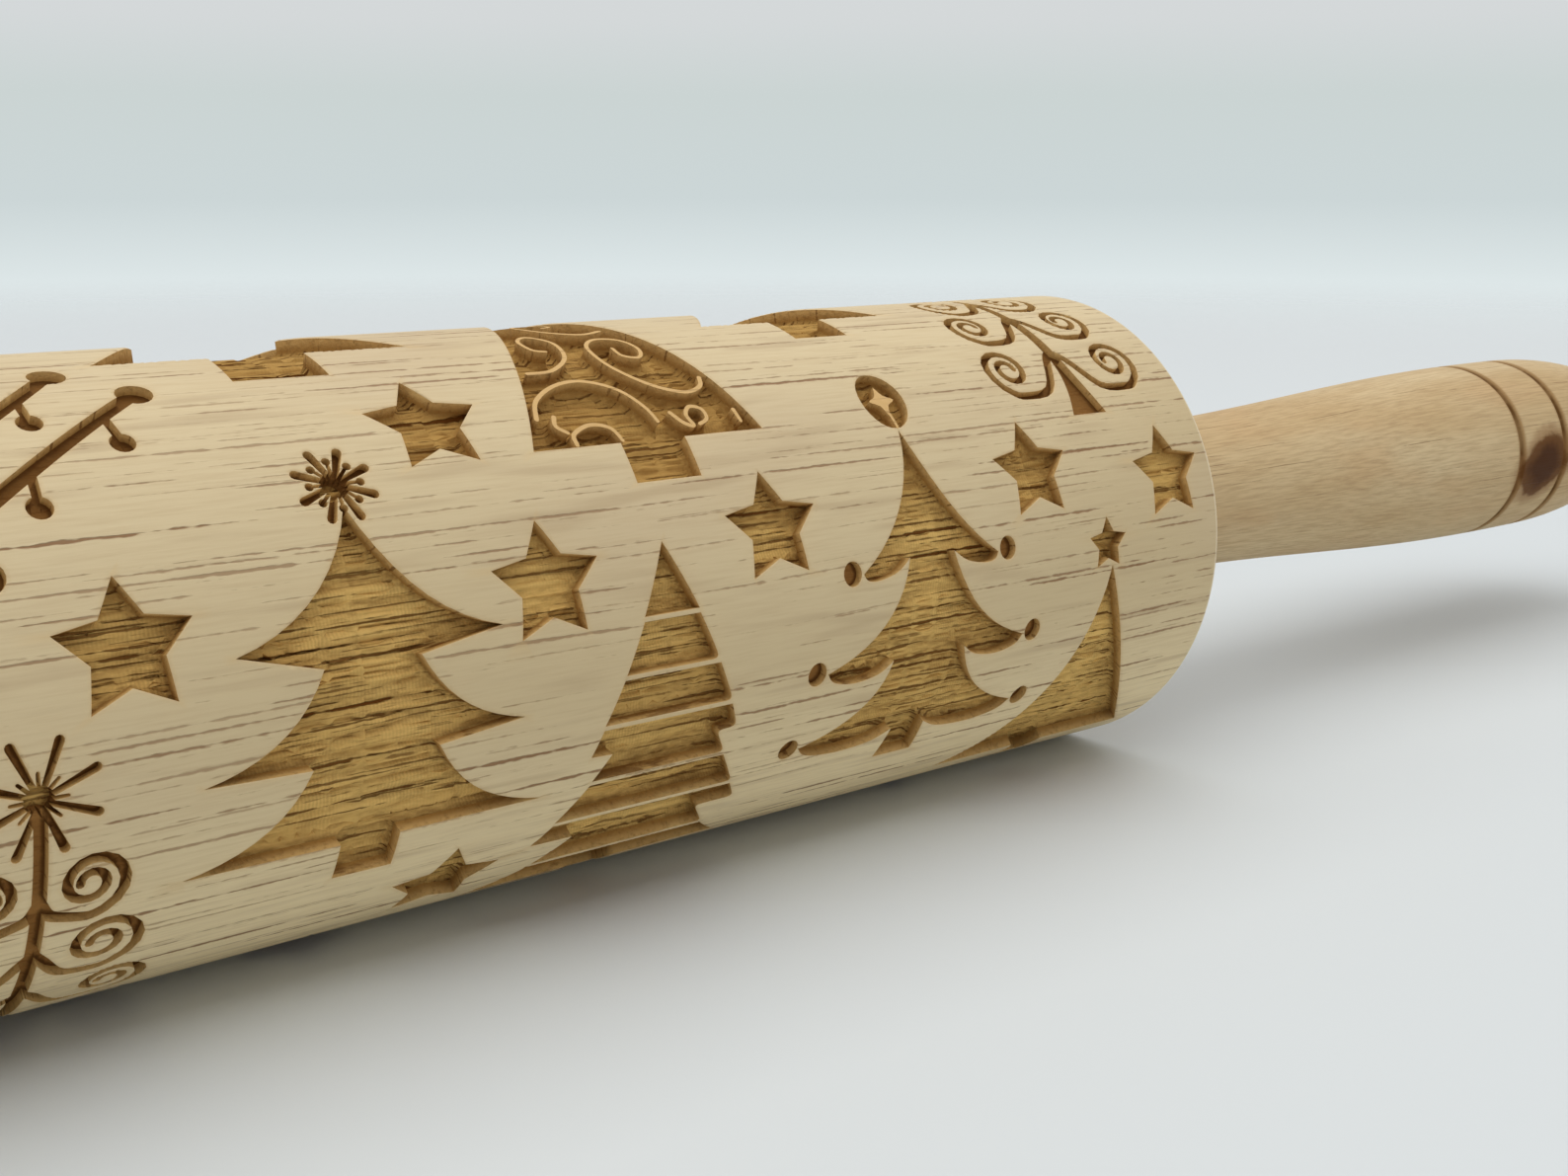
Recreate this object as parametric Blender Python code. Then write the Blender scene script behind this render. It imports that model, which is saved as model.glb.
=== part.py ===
# Embossed rolling pin: an engraved wooden roller that turns on a steel axle between two wooden handles.
# The roller lies along X. The origin is on the table, under the middle of the roller.

import math

import bmesh
import bpy
from mathutils import Vector
from mathutils.geometry import delaunay_2d_cdt

MM = 0.001

# Gap left between two pieces that touch on the real pin
CLEARANCE = 0.3 * MM

# Points closer than this are one point
WELD_DISTANCE = 0.001 * MM

# Flats round the small turned pieces and the roller's bore, and the angle from which an edge is sharp
ROUND_SEGMENTS = 20
BORE_SEGMENTS = 24
SHARP_ANGLE = math.radians(35)

# Roller: a long wooden cylinder with a small bevel at each end
ROLLER_LENGTH = 250 * MM
ROLLER_RADIUS = 25 * MM
ROLLER_EDGE = 0.6 * MM
ROLLER_BORE_RADIUS = 5.5 * MM
ROLLER_FACETS = 36
ENGRAVING_DEPTH = 1.5 * MM
ENGRAVING_MARGIN = 1.2 * MM

# Axle: a steel rod that steps down to a thread inside each handle
AXLE_RADIUS = 4 * MM
THREAD_RADIUS = 2.5 * MM
AXLE_IN_HANDLE = 30 * MM
THREAD_PAST_NUT = 2 * MM
THREAD_CHAMFER = 0.5 * MM

# Bush: a flanged nylon bearing pressed into each end of the roller
BUSH_RADIUS = 7 * MM
BUSH_LENGTH = 16 * MM
BUSH_FLANGE_RADIUS = 8.8 * MM
BUSH_FLANGE_THICKNESS = 1.6 * MM
BUSH_LEAD_IN = 0.8 * MM

# Thrust washer between the bush and the handle
THRUST_WASHER_RADIUS = 7.8 * MM
THRUST_WASHER_THICKNESS = 1 * MM

# Handle: turned wood, slim at the roller, full towards its rounded end, with two burnt rings
HANDLE_LENGTH = 120.4 * MM
HANDLE_NECK_RADIUS = 9.1 * MM
HANDLE_GRIP_RADIUS = 12 * MM
HANDLE_SWELL_LENGTH = 93.4 * MM
HANDLE_END_WALL = 1.9 * MM
HANDLE_EDGE = 0.7 * MM
RING_WIDTH = 1 * MM
RING_DEPTH = 0.4 * MM
RING_PLACE_SHARES = (0.662, 0.759)
SWELL_STEPS = 8
DOME_STEPS = 5

# Pocket in the handle's end for the nut, closed by a wooden plug
POCKET_RADIUS = 5.4 * MM
POCKET_DEPTH = 20 * MM
NUT_WASHER_RADIUS = 4.9 * MM
NUT_WASHER_THICKNESS = 1 * MM
NUT_ACROSS_FLATS = 8 * MM
NUT_THICKNESS = 4.7 * MM
NUT_CHAMFER = 0.5 * MM
PLUG_LENGTH = 7 * MM
PLUG_STANDS_OUT = 1 * MM
PLUG_FACE_RADIUS = 3.6 * MM

# Figures of the engraving: heights are measured round the roller, half widths along it
STAR_RADIUS = 5 * MM
SMALL_STAR_RADIUS = 2.6 * MM
STAR_INNER_SHARE = 0.52
BURST_RADIUS = 3.4 * MM
BURST_INNER_SHARE = 0.45
BURST_POINTS = 6
TOPPER_GAP = 0.6 * MM
FIR_HEIGHT = 30.3 * MM
FIR_HALF_WIDTH = 15.1 * MM
BANDED_HEIGHT = 40 * MM
BANDED_HALF_WIDTH = 14 * MM
BAND_RIDGE = 0.6 * MM
BAUBLE_TREE_HEIGHT = 33.8 * MM
BAUBLE_TREE_HALF_WIDTH = 13.6 * MM
BAUBLE_RADIUS = 1.1 * MM
BAUBLE_GAP = 0.3 * MM
OVAL_HALF_WIDTH = 2.6 * MM
OVAL_HALF_HEIGHT = 3.1 * MM
OVAL_SIDES = 8
BALL_SIDES = 6
PLAIN_HEIGHT = 29.6 * MM
PLAIN_HALF_WIDTH = 13.3 * MM
LACE_HEIGHT = 38.3 * MM
LACE_HALF_WIDTH = 11.8 * MM
CURL_TREE_HEIGHT = 32.7 * MM
CURL_TREE_HALF_WIDTH = 7.6 * MM
CURL_TRUNK_HALF_WIDTH = 2.2 * MM
CURL_RADIUS = 2.6 * MM
CURL_GROOVE = 1.1 * MM
BRANCH_TREE_HEIGHT = 41 * MM
BRANCH_HALF_WIDTH = 26 * MM
BRANCH_GROOVE = 1.2 * MM
BRANCH_BALL_RADIUS = 1.4 * MM

# Tiers from the lowest up, each with its tip's half width and height and those of the notch above it
FIR_TIER_SHARES = ((1.0, 0.127, 0.358, 0.356), (0.861, 0.389, 0.258, 0.616), (0.715, 0.662, 0.0, 1.0))
FIR_TRUNK_SHARE = 0.162
FIR_SAG_SHARES = (0.28, 0.19)
BAUBLE_TIER_SHARES = ((1.0, 0.127, 0.35, 0.338), (0.894, 0.366, 0.265, 0.629), (0.624, 0.611, 0.0, 1.0))
BAUBLE_TRUNK_SHARE = 0.165
BAUBLE_SAG_SHARES = (0.3, 0.3)
PLAIN_TIER_SHARES = ((1.0, 0.135, 0.0, 1.0),)
PLAIN_TRUNK_SHARE = 0.16
PLAIN_SAG_SHARES = (0.345, 0.41)
LACE_TIER_SHARES = ((1.0, 0.108, 0.0, 1.0),)
LACE_TRUNK_SHARE = 0.276

# Bands from the highest down, each with the heights of its two edges and its half widths there
BAND_SHARES = (
    (1.0, 0.85, 0.0, 0.19), (0.85, 0.732, 0.19, 0.33), (0.732, 0.624, 0.33, 0.46),
    (0.624, 0.564, 0.46, 0.54), (0.564, 0.496, 0.4, 0.5), (0.496, 0.388, 0.5, 0.65),
    (0.388, 0.316, 0.65, 0.77), (0.316, 0.225, 0.5, 0.7), (0.225, 0.082, 0.7, 1.0),
)
BANDED_TRUNK_SHARE = 0.18

# Curled branches from the lowest up: how far out and how high the middle of each curl is
CURL_SHARES = ((1.0, 0.17), (0.87, 0.39), (0.66, 0.6), (0.45, 0.785))
CURL_STEPS = 5
CURL_START = math.radians(-160)
CURL_TURN = math.radians(250)
CURL_TRUNK_TOP_SHARE = 0.27
CURL_TRUNK_BEND_SHARE = 0.2

# Straight branches from the lowest up: length, height at the trunk and height of the tip
BRANCH_SHARES = ((0.66, 0.12, 0.34), (1.0, 0.23, 0.62), (0.8, 0.42, 0.69), (0.5, 0.62, 0.84))

# Places of the figures: along the roller as a share of half its length, and round it in degrees,
# from 0 at the front through 90 at the top. A tree is placed by the foot of its trunk.
TREE_PLACE_SHARES = (
    ("plain", 0.866, -66.5), ("bauble", 0.669, -39.8), ("banded", 0.432, -71), ("fir", 0.217, -34.8),
    ("curl", 0.017, -80), ("plain", -0.22, -62), ("bauble", -0.42, -40), ("fir", -0.64, -70),
    ("lace", -0.86, -38),
    ("curl", 0.877, 36.5), ("lace", 0.66, 68.5), ("lace", 0.453, 32.8), ("plain", 0.222, 67),
    ("branch", -0.09, 8), ("fir", -0.42, 68), ("banded", -0.64, 34), ("bauble", -0.86, 66),
    ("fir", 0.862, 165), ("plain", 0.669, 190), ("bauble", 0.432, 150), ("banded", 0.217, 175),
    ("fir", 0.0, 150), ("lace", -0.235, 136), ("curl", -0.42, 190), ("plain", -0.64, 158),
    ("fir", -0.86, 190),
)
STAR_PLACE_SHARES = (
    (0.944, 19.9), (0.79, 24.7), (0.527, 20.4), (0.341, 16.3), (0.295, 50.2), (0.072, 16.3), (0.286, -47),
    (-0.11, -26), (-0.305, 20), (-0.545, 20), (-0.75, 20), (-0.94, 26), (-0.36, -64), (-0.83, -62),
    (0.77, 146), (0.555, 134), (0.33, 142), (0.1, 132), (-0.28, 112), (-0.535, 138), (-0.75, 134),
    (-0.945, 150),
    (0.768, -84), (0.555, -104), (0.33, -96), (0.22, -78), (0.1, -108), (-0.1, -104), (-0.3, -106),
    (-0.535, -92), (-0.74, -100), (-0.945, -84),
)
SMALL_STAR_PLACE_SHARES = ((0.861, 5.5), (-0.22, 12))


def ease(share):
    return share ** 3 * (10 - 15 * share + 6 * share * share)


# The middle point of a curve that leaves the start and reaches the end while aiming at the bend
def middle_of_curve(start, bend, end):
    return tuple(a / 4 + b / 2 + c / 4 for a, b, c in zip(start, bend, end))


def both_sides(right_side):
    return right_side + [(-x, y) for x, y in reversed(right_side) if x > 0]


def oval(middle, half_width, half_height, count=BALL_SIDES):
    turns = [2 * math.pi * n / count for n in range(count)]
    return [(middle[0] + half_width * math.cos(t), middle[1] + half_height * math.sin(t)) for t in turns]


def star(middle, radius, inner_share=STAR_INNER_SHARE, points=5):
    outline = []
    for n in range(2 * points):
        turn = math.pi / 2 + math.pi * n / points
        reach = radius * (inner_share if n % 2 else 1)
        outline.append((middle[0] + reach * math.cos(turn), middle[1] + reach * math.sin(turn)))
    return outline


# Outline of a groove of even width along a line
def groove(line, width):
    left, right = [], []
    for n, (x, y) in enumerate(line):
        before = Vector(line[max(n - 1, 0)])
        after = Vector(line[min(n + 1, len(line) - 1)])
        side = (after - before).orthogonal().normalized() * width / 2
        left.append((x + side.x, y + side.y))
        right.append((x - side.x, y - side.y))
    return right + left[::-1]


# Each tree stands with the foot of its trunk at (0, 0). Its right side is drawn upwards, then mirrored.
def tiered_tree(half_width, height, tiers, trunk_share, sag_shares=None):
    trunk = trunk_share * half_width
    side = [(trunk, 0), (trunk, tiers[0][1] * height)]
    for tip_share, tip_up, notch_share, notch_up in tiers:
        tip = (tip_share * half_width, tip_up * height)
        notch = (notch_share * half_width, notch_up * height)
        side.append(tip)
        if sag_shares:
            sag_out = notch[0] + sag_shares[0] * (tip[0] - notch[0])
            sag_up = tip[1] + sag_shares[1] * (notch[1] - tip[1])
            side.append(middle_of_curve(tip, (sag_out, sag_up), notch))
        side.append(notch)
    return both_sides(side)


def fir_tree():
    tree = tiered_tree(FIR_HALF_WIDTH, FIR_HEIGHT, FIR_TIER_SHARES, FIR_TRUNK_SHARE, FIR_SAG_SHARES)
    burst_middle = (0, FIR_HEIGHT + TOPPER_GAP + BURST_RADIUS)
    return [tree, star(burst_middle, BURST_RADIUS, BURST_INNER_SHARE, BURST_POINTS)]


def plain_tree():
    size = (PLAIN_HALF_WIDTH, PLAIN_HEIGHT)
    return [tiered_tree(*size, PLAIN_TIER_SHARES, PLAIN_TRUNK_SHARE, PLAIN_SAG_SHARES)]


def lace_tree():
    return [tiered_tree(LACE_HALF_WIDTH, LACE_HEIGHT, LACE_TIER_SHARES, LACE_TRUNK_SHARE)]


def banded_tree():
    shapes = []
    for top, bottom, half_above, half_below in BAND_SHARES:
        low = bottom * BANDED_HEIGHT + BAND_RIDGE
        side = [(half_below * BANDED_HALF_WIDTH, low), (half_above * BANDED_HALF_WIDTH, top * BANDED_HEIGHT)]
        shapes.append(both_sides(side))
    trunk = BANDED_TRUNK_SHARE * BANDED_HALF_WIDTH
    shapes.append(both_sides([(trunk, 0), (trunk, BAND_SHARES[-1][1] * BANDED_HEIGHT)]))
    return shapes


def bauble_tree():
    width, height = BAUBLE_TREE_HALF_WIDTH, BAUBLE_TREE_HEIGHT
    shapes = [tiered_tree(width, height, BAUBLE_TIER_SHARES, BAUBLE_TRUNK_SHARE, BAUBLE_SAG_SHARES)]
    for tip_share, tip_up, *_ in BAUBLE_TIER_SHARES:
        out = tip_share * width + BAUBLE_GAP + BAUBLE_RADIUS
        shapes += [oval((side * out, tip_up * height), BAUBLE_RADIUS, BAUBLE_RADIUS) for side in (-1, 1)]
    topper = (0, height + TOPPER_GAP + OVAL_HALF_HEIGHT)
    shapes.append(oval(topper, OVAL_HALF_WIDTH, OVAL_HALF_HEIGHT, OVAL_SIDES))
    return shapes


def curl_tree():
    foot = CURL_TRUNK_HALF_WIDTH
    top = foot * CURL_TRUNK_TOP_SHARE
    height = CURL_TREE_HEIGHT
    shapes = [both_sides([(foot, 0), (top, CURL_TRUNK_BEND_SHARE * height), (top, height)])]
    for out_share, up_share in CURL_SHARES:
        out, up = out_share * CURL_TREE_HALF_WIDTH, up_share * height
        for side in (-1, 1):
            line = [(0, up + CURL_RADIUS)]
            for n in range(CURL_STEPS + 1):
                turn = CURL_START + CURL_TURN * n / CURL_STEPS
                line.append((side * (out + CURL_RADIUS * math.cos(turn)), up + CURL_RADIUS * math.sin(turn)))
            shapes.append(groove(line, CURL_GROOVE))
    shapes.append(star((0, height), BURST_RADIUS, BURST_INNER_SHARE, BURST_POINTS))
    return shapes


def branch_tree():
    height = BRANCH_TREE_HEIGHT
    shapes = [both_sides([(BRANCH_GROOVE / 2, 0), (BRANCH_GROOVE / 2, height)])]
    for length_share, leaves, ends in BRANCH_SHARES:
        for side in (-1, 1):
            tip = (side * length_share * BRANCH_HALF_WIDTH, ends * height)
            shapes.append(groove([(0, leaves * height), tip], BRANCH_GROOVE))
            shapes.append(oval(tip, BRANCH_BALL_RADIUS, BRANCH_BALL_RADIUS))
    shapes.append(star((0, height), STAR_RADIUS))
    return shapes


TREES = {
    "fir": fir_tree, "plain": plain_tree, "lace": lace_tree, "banded": banded_tree,
    "bauble": bauble_tree, "curl": curl_tree, "branch": branch_tree,
}


# All the figures' outlines on the unrolled roller: x along it, y round it from the front
def engraved_outlines():
    outlines = []
    for kind, along_share, degrees in TREE_PLACE_SHARES:
        x, y = along_share * ROLLER_LENGTH / 2, math.radians(degrees) * ROLLER_RADIUS
        outlines += [[(x + dx, y + dy) for dx, dy in shape] for shape in TREES[kind]()]
    for places, radius in ((STAR_PLACE_SHARES, STAR_RADIUS), (SMALL_STAR_PLACE_SHARES, SMALL_STAR_RADIUS)):
        for along_share, degrees in places:
            middle = (along_share * ROLLER_LENGTH / 2, math.radians(degrees) * ROLLER_RADIUS)
            outlines.append(star(middle, radius))
    return outlines


# The unrolled roller cut into triangles along its facets and along every outline.
# Returns the points, the triangles and whether each triangle lies inside a figure.
def unrolled_sheet():
    half = ROLLER_LENGTH / 2 - ROLLER_EDGE
    engraved_half = ROLLER_LENGTH / 2 - ENGRAVING_MARGIN
    around = 2 * math.pi * ROLLER_RADIUS
    facet = around / ROLLER_FACETS
    low = -around / 4 - facet / 2
    points, edges, faces = [], [], []
    for n in range(ROLLER_FACETS + 1):
        y = low + n * facet
        edges.append((len(points), len(points) + 1))
        points += [Vector((-half, y)), Vector((half, y))]
    for side in (-1, 1):
        edges.append((len(points), len(points) + 1))
        points += [Vector((side * engraved_half, low)), Vector((side * engraved_half, low + around))]
    for outline in engraved_outlines():
        for shift in (-around, 0, around):
            moved = [Vector((x, y + shift)) for x, y in outline]
            if max(p.y for p in moved) <= low or min(p.y for p in moved) >= low + around:
                continue
            area = sum(a.cross(b) for a, b in zip(moved, moved[1:] + moved[:1]))
            if area < 0:
                moved.reverse()
            faces.append(range(len(points), len(points) + len(moved)))
            points += moved
    cut = delaunay_2d_cdt(points, edges, [list(face) for face in faces], 0, WELD_DISTANCE)
    spots, triangles, inside = cut[0], [], []
    for triangle, figures in zip(cut[2], cut[5]):
        middle = sum((spots[n] for n in triangle), Vector((0, 0))) / 3
        if abs(middle.x) > half or not low < middle.y < low + around:
            continue
        triangles.append(triangle)
        inside.append(bool(figures) and abs(middle.x) < engraved_half)
    return spots, triangles, inside


# A point of the unrolled sheet laid on the flat facet that it belongs to
def wrapped(spot, depth):
    step = 2 * math.pi / ROLLER_FACETS
    turn = spot.y / ROLLER_RADIUS
    facet_turn = round((turn + math.pi / 2) / step) * step - math.pi / 2
    across = ROLLER_RADIUS * math.tan(step / 2) * (turn - facet_turn) / (step / 2)
    sunk = 1 - depth / ROLLER_RADIUS
    y = -math.cos(facet_turn) * ROLLER_RADIUS + math.sin(facet_turn) * across
    z = math.sin(facet_turn) * ROLLER_RADIUS + math.cos(facet_turn) * across
    return Vector((spot.x, y * sunk, z * sunk))


def material(name, color, roughness, metallic=0.0):
    made = bpy.data.materials.new(name)
    made.use_nodes = True
    shader = made.node_tree.nodes["Principled BSDF"]
    shader.inputs["Base Color"].default_value = (*color, 1)
    shader.inputs["Roughness"].default_value = roughness
    shader.inputs["Metallic"].default_value = metallic
    return made


def new_object(name, mesh, finish, parent=None):
    made = bpy.data.objects.new(name, mesh)
    made.data.materials.append(finish)
    bpy.context.collection.objects.link(made)
    made.parent = parent
    return made


def smooth(mesh):
    mesh.shade_smooth()
    mesh.set_sharp_from_angle(angle=SHARP_ANGLE)


# A closed shape turned about X. The profile holds (x, radius) points; the first and the last meet
# unless both lie on the axis.
def turned(name, profile, segments=ROUND_SEGMENTS):
    shape = bmesh.new()
    rings = []
    for x, radius in profile:
        if radius == 0:
            rings.append([shape.verts.new((x, 0, 0))])
            continue
        turns = [2 * math.pi * n / segments for n in range(segments)]
        rings.append([shape.verts.new((x, radius * math.sin(t), radius * math.cos(t))) for t in turns])
    if profile[0][1] > 0:
        rings.append(rings[0])
    for near, far in zip(rings, rings[1:]):
        for n in range(segments):
            after = (n + 1) % segments
            corners = [ring[k % len(ring)] for ring, k in ((near, n), (near, after), (far, after), (far, n))]
            shape.faces.new(list(dict.fromkeys(corners)))
    bmesh.ops.recalc_face_normals(shape, faces=shape.faces)
    mesh = bpy.data.meshes.new(name)
    shape.to_mesh(mesh)
    shape.free()
    smooth(mesh)
    return mesh


def engraved_cylinder():
    spots, triangles, inside = unrolled_sheet()
    shape = bmesh.new()
    made = {}

    def vertex(n, sunk):
        where = wrapped(spots[n], ENGRAVING_DEPTH if sunk else 0)
        key = (n, sunk)
        if key not in made:
            made[key] = shape.verts.new(where)
        return made[key]

    sides = {}
    for triangle, sunk in zip(triangles, inside):
        shape.faces.new([vertex(n, sunk) for n in triangle])
        for a, b in zip(triangle, triangle[1:] + triangle[:1]):
            sides[(a, b)] = sunk
    for (a, b), sunk in sides.items():
        if sunk and sides.get((b, a)) is False:
            shape.faces.new([vertex(b, True), vertex(a, True), vertex(a, False), vertex(b, False)])
    bmesh.ops.remove_doubles(shape, verts=shape.verts, dist=WELD_DISTANCE)
    rims = [edge for edge in shape.edges if edge.is_boundary]
    grown = bmesh.ops.extrude_edge_only(shape, edges=rims)["geom"]
    narrower = 1 - ROLLER_EDGE / ROLLER_RADIUS
    for corner in (item for item in grown if isinstance(item, bmesh.types.BMVert)):
        end = math.copysign(ROLLER_LENGTH / 2, corner.co.x)
        corner.co = Vector((end, corner.co.y * narrower, corner.co.z * narrower))
    bmesh.ops.holes_fill(shape, edges=[edge for edge in shape.edges if edge.is_boundary])
    bmesh.ops.recalc_face_normals(shape, faces=shape.faces)
    mesh = bpy.data.meshes.new("roller_barrel")
    shape.to_mesh(mesh)
    shape.free()
    smooth(mesh)
    return mesh


# Bore right through the roller, with a stepped socket for a bush at each end
def roller_bore():
    end = ROLLER_LENGTH / 2
    flange_seat = end - BUSH_FLANGE_THICKNESS - CLEARANCE
    body_seat = end - BUSH_LENGTH - CLEARANCE
    socket = [
        (body_seat, ROLLER_BORE_RADIUS), (body_seat, BUSH_RADIUS + CLEARANCE),
        (flange_seat, BUSH_RADIUS + CLEARANCE), (flange_seat, BUSH_FLANGE_RADIUS + CLEARANCE),
        (end + CLEARANCE, BUSH_FLANGE_RADIUS + CLEARANCE), (end + CLEARANCE, 0),
    ]
    return [(-x, radius) for x, radius in socket[::-1]] + socket


def bush_profile():
    end = ROLLER_LENGTH / 2
    bore = AXLE_RADIUS + CLEARANCE
    inner = end - BUSH_LENGTH
    return [
        (inner, bore), (inner, BUSH_RADIUS - BUSH_LEAD_IN), (inner + BUSH_LEAD_IN, BUSH_RADIUS),
        (end - BUSH_FLANGE_THICKNESS, BUSH_RADIUS), (end - BUSH_FLANGE_THICKNESS, BUSH_FLANGE_RADIUS),
        (end, BUSH_FLANGE_RADIUS), (end, bore),
    ]


def washer_profile(x, thickness, radius, hole):
    return [(x, hole), (x, radius), (x + thickness, radius), (x + thickness, hole)]


def handle_start():
    return ROLLER_LENGTH / 2 + THRUST_WASHER_THICKNESS + 2 * CLEARANCE


def handle_end():
    return handle_start() + HANDLE_LENGTH


def pocket_floor():
    return handle_end() - POCKET_DEPTH


def shoulder_place():
    return handle_start() + AXLE_IN_HANDLE


# Radius of the handle at a distance from its roller end: a swell, then part of an oval dome
# that still leaves a wall round the pocket at the end
def handle_radius(along):
    if along <= HANDLE_SWELL_LENGTH:
        share = along / HANDLE_SWELL_LENGTH
        return HANDLE_NECK_RADIUS + (HANDLE_GRIP_RADIUS - HANDLE_NECK_RADIUS) * ease(share)
    end_share = (POCKET_RADIUS + HANDLE_END_WALL) / HANDLE_GRIP_RADIUS
    share = (along - HANDLE_SWELL_LENGTH) / (HANDLE_LENGTH - HANDLE_SWELL_LENGTH)
    return HANDLE_GRIP_RADIUS * math.sqrt(1 - share * share * (1 - end_share * end_share))


def handle_profile():
    start, end = handle_start(), handle_end()
    rings = [share * HANDLE_LENGTH for share in RING_PLACE_SHARES]
    stations = [HANDLE_SWELL_LENGTH * n / SWELL_STEPS for n in range(1, SWELL_STEPS)]
    dome = HANDLE_LENGTH - HANDLE_SWELL_LENGTH
    stations += [HANDLE_SWELL_LENGTH + dome * n / DOME_STEPS for n in range(1, DOME_STEPS)]
    stations = [a for a in stations if all(abs(a - ring) > 2 * RING_WIDTH for ring in rings)]
    outer = [(start + a, handle_radius(a)) for a in stations]
    for ring in rings:
        for side, depth in ((-1, 0), (-0.5, RING_DEPTH), (0.5, RING_DEPTH), (1, 0)):
            along = ring + side * RING_WIDTH / 2
            outer.append((start + along, handle_radius(along) - depth))
    outer.sort()
    neck = [(start, HANDLE_NECK_RADIUS - HANDLE_EDGE), (start + HANDLE_EDGE, HANDLE_NECK_RADIUS)]
    tail_radius = handle_radius(HANDLE_LENGTH - HANDLE_EDGE)
    tail = [(end - HANDLE_EDGE, tail_radius), (end, tail_radius - HANDLE_EDGE)]
    axle_hole = AXLE_RADIUS + CLEARANCE
    thread_hole = THREAD_RADIUS + CLEARANCE
    seat = shoulder_place() + CLEARANCE
    inside = [
        (end, POCKET_RADIUS), (pocket_floor(), POCKET_RADIUS), (pocket_floor(), thread_hole),
        (seat, thread_hole), (seat, axle_hole), (start, axle_hole),
    ]
    return neck + outer + tail + inside


def nut_place():
    return pocket_floor() + NUT_WASHER_THICKNESS + 2 * CLEARANCE


def axle_profile():
    tip = nut_place() + NUT_THICKNESS + THREAD_PAST_NUT
    half = [
        (shoulder_place(), AXLE_RADIUS), (shoulder_place(), THREAD_RADIUS),
        (tip - THREAD_CHAMFER, THREAD_RADIUS), (tip, THREAD_RADIUS - THREAD_CHAMFER), (tip, 0),
    ]
    return [(-x, radius) for x, radius in half[::-1]] + half


def plug_profile():
    end = handle_end()
    radius = POCKET_RADIUS - CLEARANCE
    return [
        (end - PLUG_LENGTH, 0), (end - PLUG_LENGTH, radius), (end, radius),
        (end + PLUG_STANDS_OUT, PLUG_FACE_RADIUS), (end + PLUG_STANDS_OUT, 0),
    ]


# A hexagon nut with its corners chamfered, bored for the thread
def nut_mesh(name):
    corner = NUT_ACROSS_FLATS / math.sqrt(3)
    near = nut_place()
    far = near + NUT_THICKNESS
    mesh = turned(name, [
        (near, 0), (near, NUT_ACROSS_FLATS / 2), (near + NUT_CHAMFER, corner),
        (far - NUT_CHAMFER, corner), (far, NUT_ACROSS_FLATS / 2), (far, 0),
    ], 6)
    mesh.shade_flat()
    return mesh


def nut_hole_profile():
    near = nut_place() - CLEARANCE
    far = nut_place() + NUT_THICKNESS + CLEARANCE
    radius = THREAD_RADIUS + CLEARANCE
    return [(near, 0), (near, radius), (far, radius), (far, 0)]


def cut(body, cutter_mesh):
    cutter = bpy.data.objects.new(body.name + "_cutter", cutter_mesh)
    bpy.context.collection.objects.link(cutter)
    cutter.parent = body.parent
    cutter.hide_render = True
    cutter.display_type = "WIRE"
    modifier = body.modifiers.new("bore", "BOOLEAN")
    modifier.operation = "DIFFERENCE"
    modifier.solver = "EXACT"
    modifier.object = cutter


def mirror_profile(profile, side):
    return [(side * x, radius) for x, radius in profile]


def build():
    for old in list(bpy.data.objects):
        bpy.data.objects.remove(old, do_unlink=True)

    roller_wood = material("pale roller wood", (0.78, 0.62, 0.43), 0.55)
    handle_wood = material("tan handle wood", (0.62, 0.42, 0.24), 0.45)
    plug_wood = material("plug wood", (0.55, 0.36, 0.2), 0.5)
    nylon = material("white nylon", (0.85, 0.84, 0.8), 0.4)
    steel = material("bright steel", (0.62, 0.62, 0.63), 0.25, 1.0)
    zinc = material("zinc plated steel", (0.55, 0.56, 0.58), 0.35, 1.0)

    axis = bpy.data.objects.new("turning_axis", None)
    axis.location = (0, 0, ROLLER_RADIUS)
    bpy.context.collection.objects.link(axis)

    roller = new_object("roller_barrel", engraved_cylinder(), roller_wood, axis)
    cut(roller, turned("roller_bore", roller_bore(), BORE_SEGMENTS))
    new_object("axle_rod", turned("axle_rod", axle_profile()), steel, axis)

    axle_hole = AXLE_RADIUS + CLEARANCE
    thread_hole = THREAD_RADIUS + CLEARANCE
    thrust_place = ROLLER_LENGTH / 2 + CLEARANCE
    nut_washer_place = pocket_floor() + CLEARANCE
    thrust = washer_profile(thrust_place, THRUST_WASHER_THICKNESS, THRUST_WASHER_RADIUS, axle_hole)
    nut_washer = washer_profile(nut_washer_place, NUT_WASHER_THICKNESS, NUT_WASHER_RADIUS, thread_hole)
    turned_pieces = (
        ("bearing_bush", bush_profile(), nylon), ("thrust_washer", thrust, nylon),
        ("handle", handle_profile(), handle_wood), ("nut_washer", nut_washer, zinc),
        ("handle_plug", plug_profile(), plug_wood),
    )
    for side, end_name in ((-1, "left"), (1, "right")):
        for piece, profile, finish in turned_pieces:
            name = piece + "_" + end_name
            new_object(name, turned(name, mirror_profile(profile, side)), finish, axis)
        name = "axle_nut_" + end_name
        nut = new_object(name, nut_mesh(name), zinc, axis)
        nut.rotation_euler.z = 0 if side > 0 else math.pi
        cut(nut, turned(name + "_hole", mirror_profile(nut_hole_profile(), side)))


build()
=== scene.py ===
import math

import bpy
import numpy as np
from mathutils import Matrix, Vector, kdtree, noise
from mathutils.geometry import delaunay_2d_cdt


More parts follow.
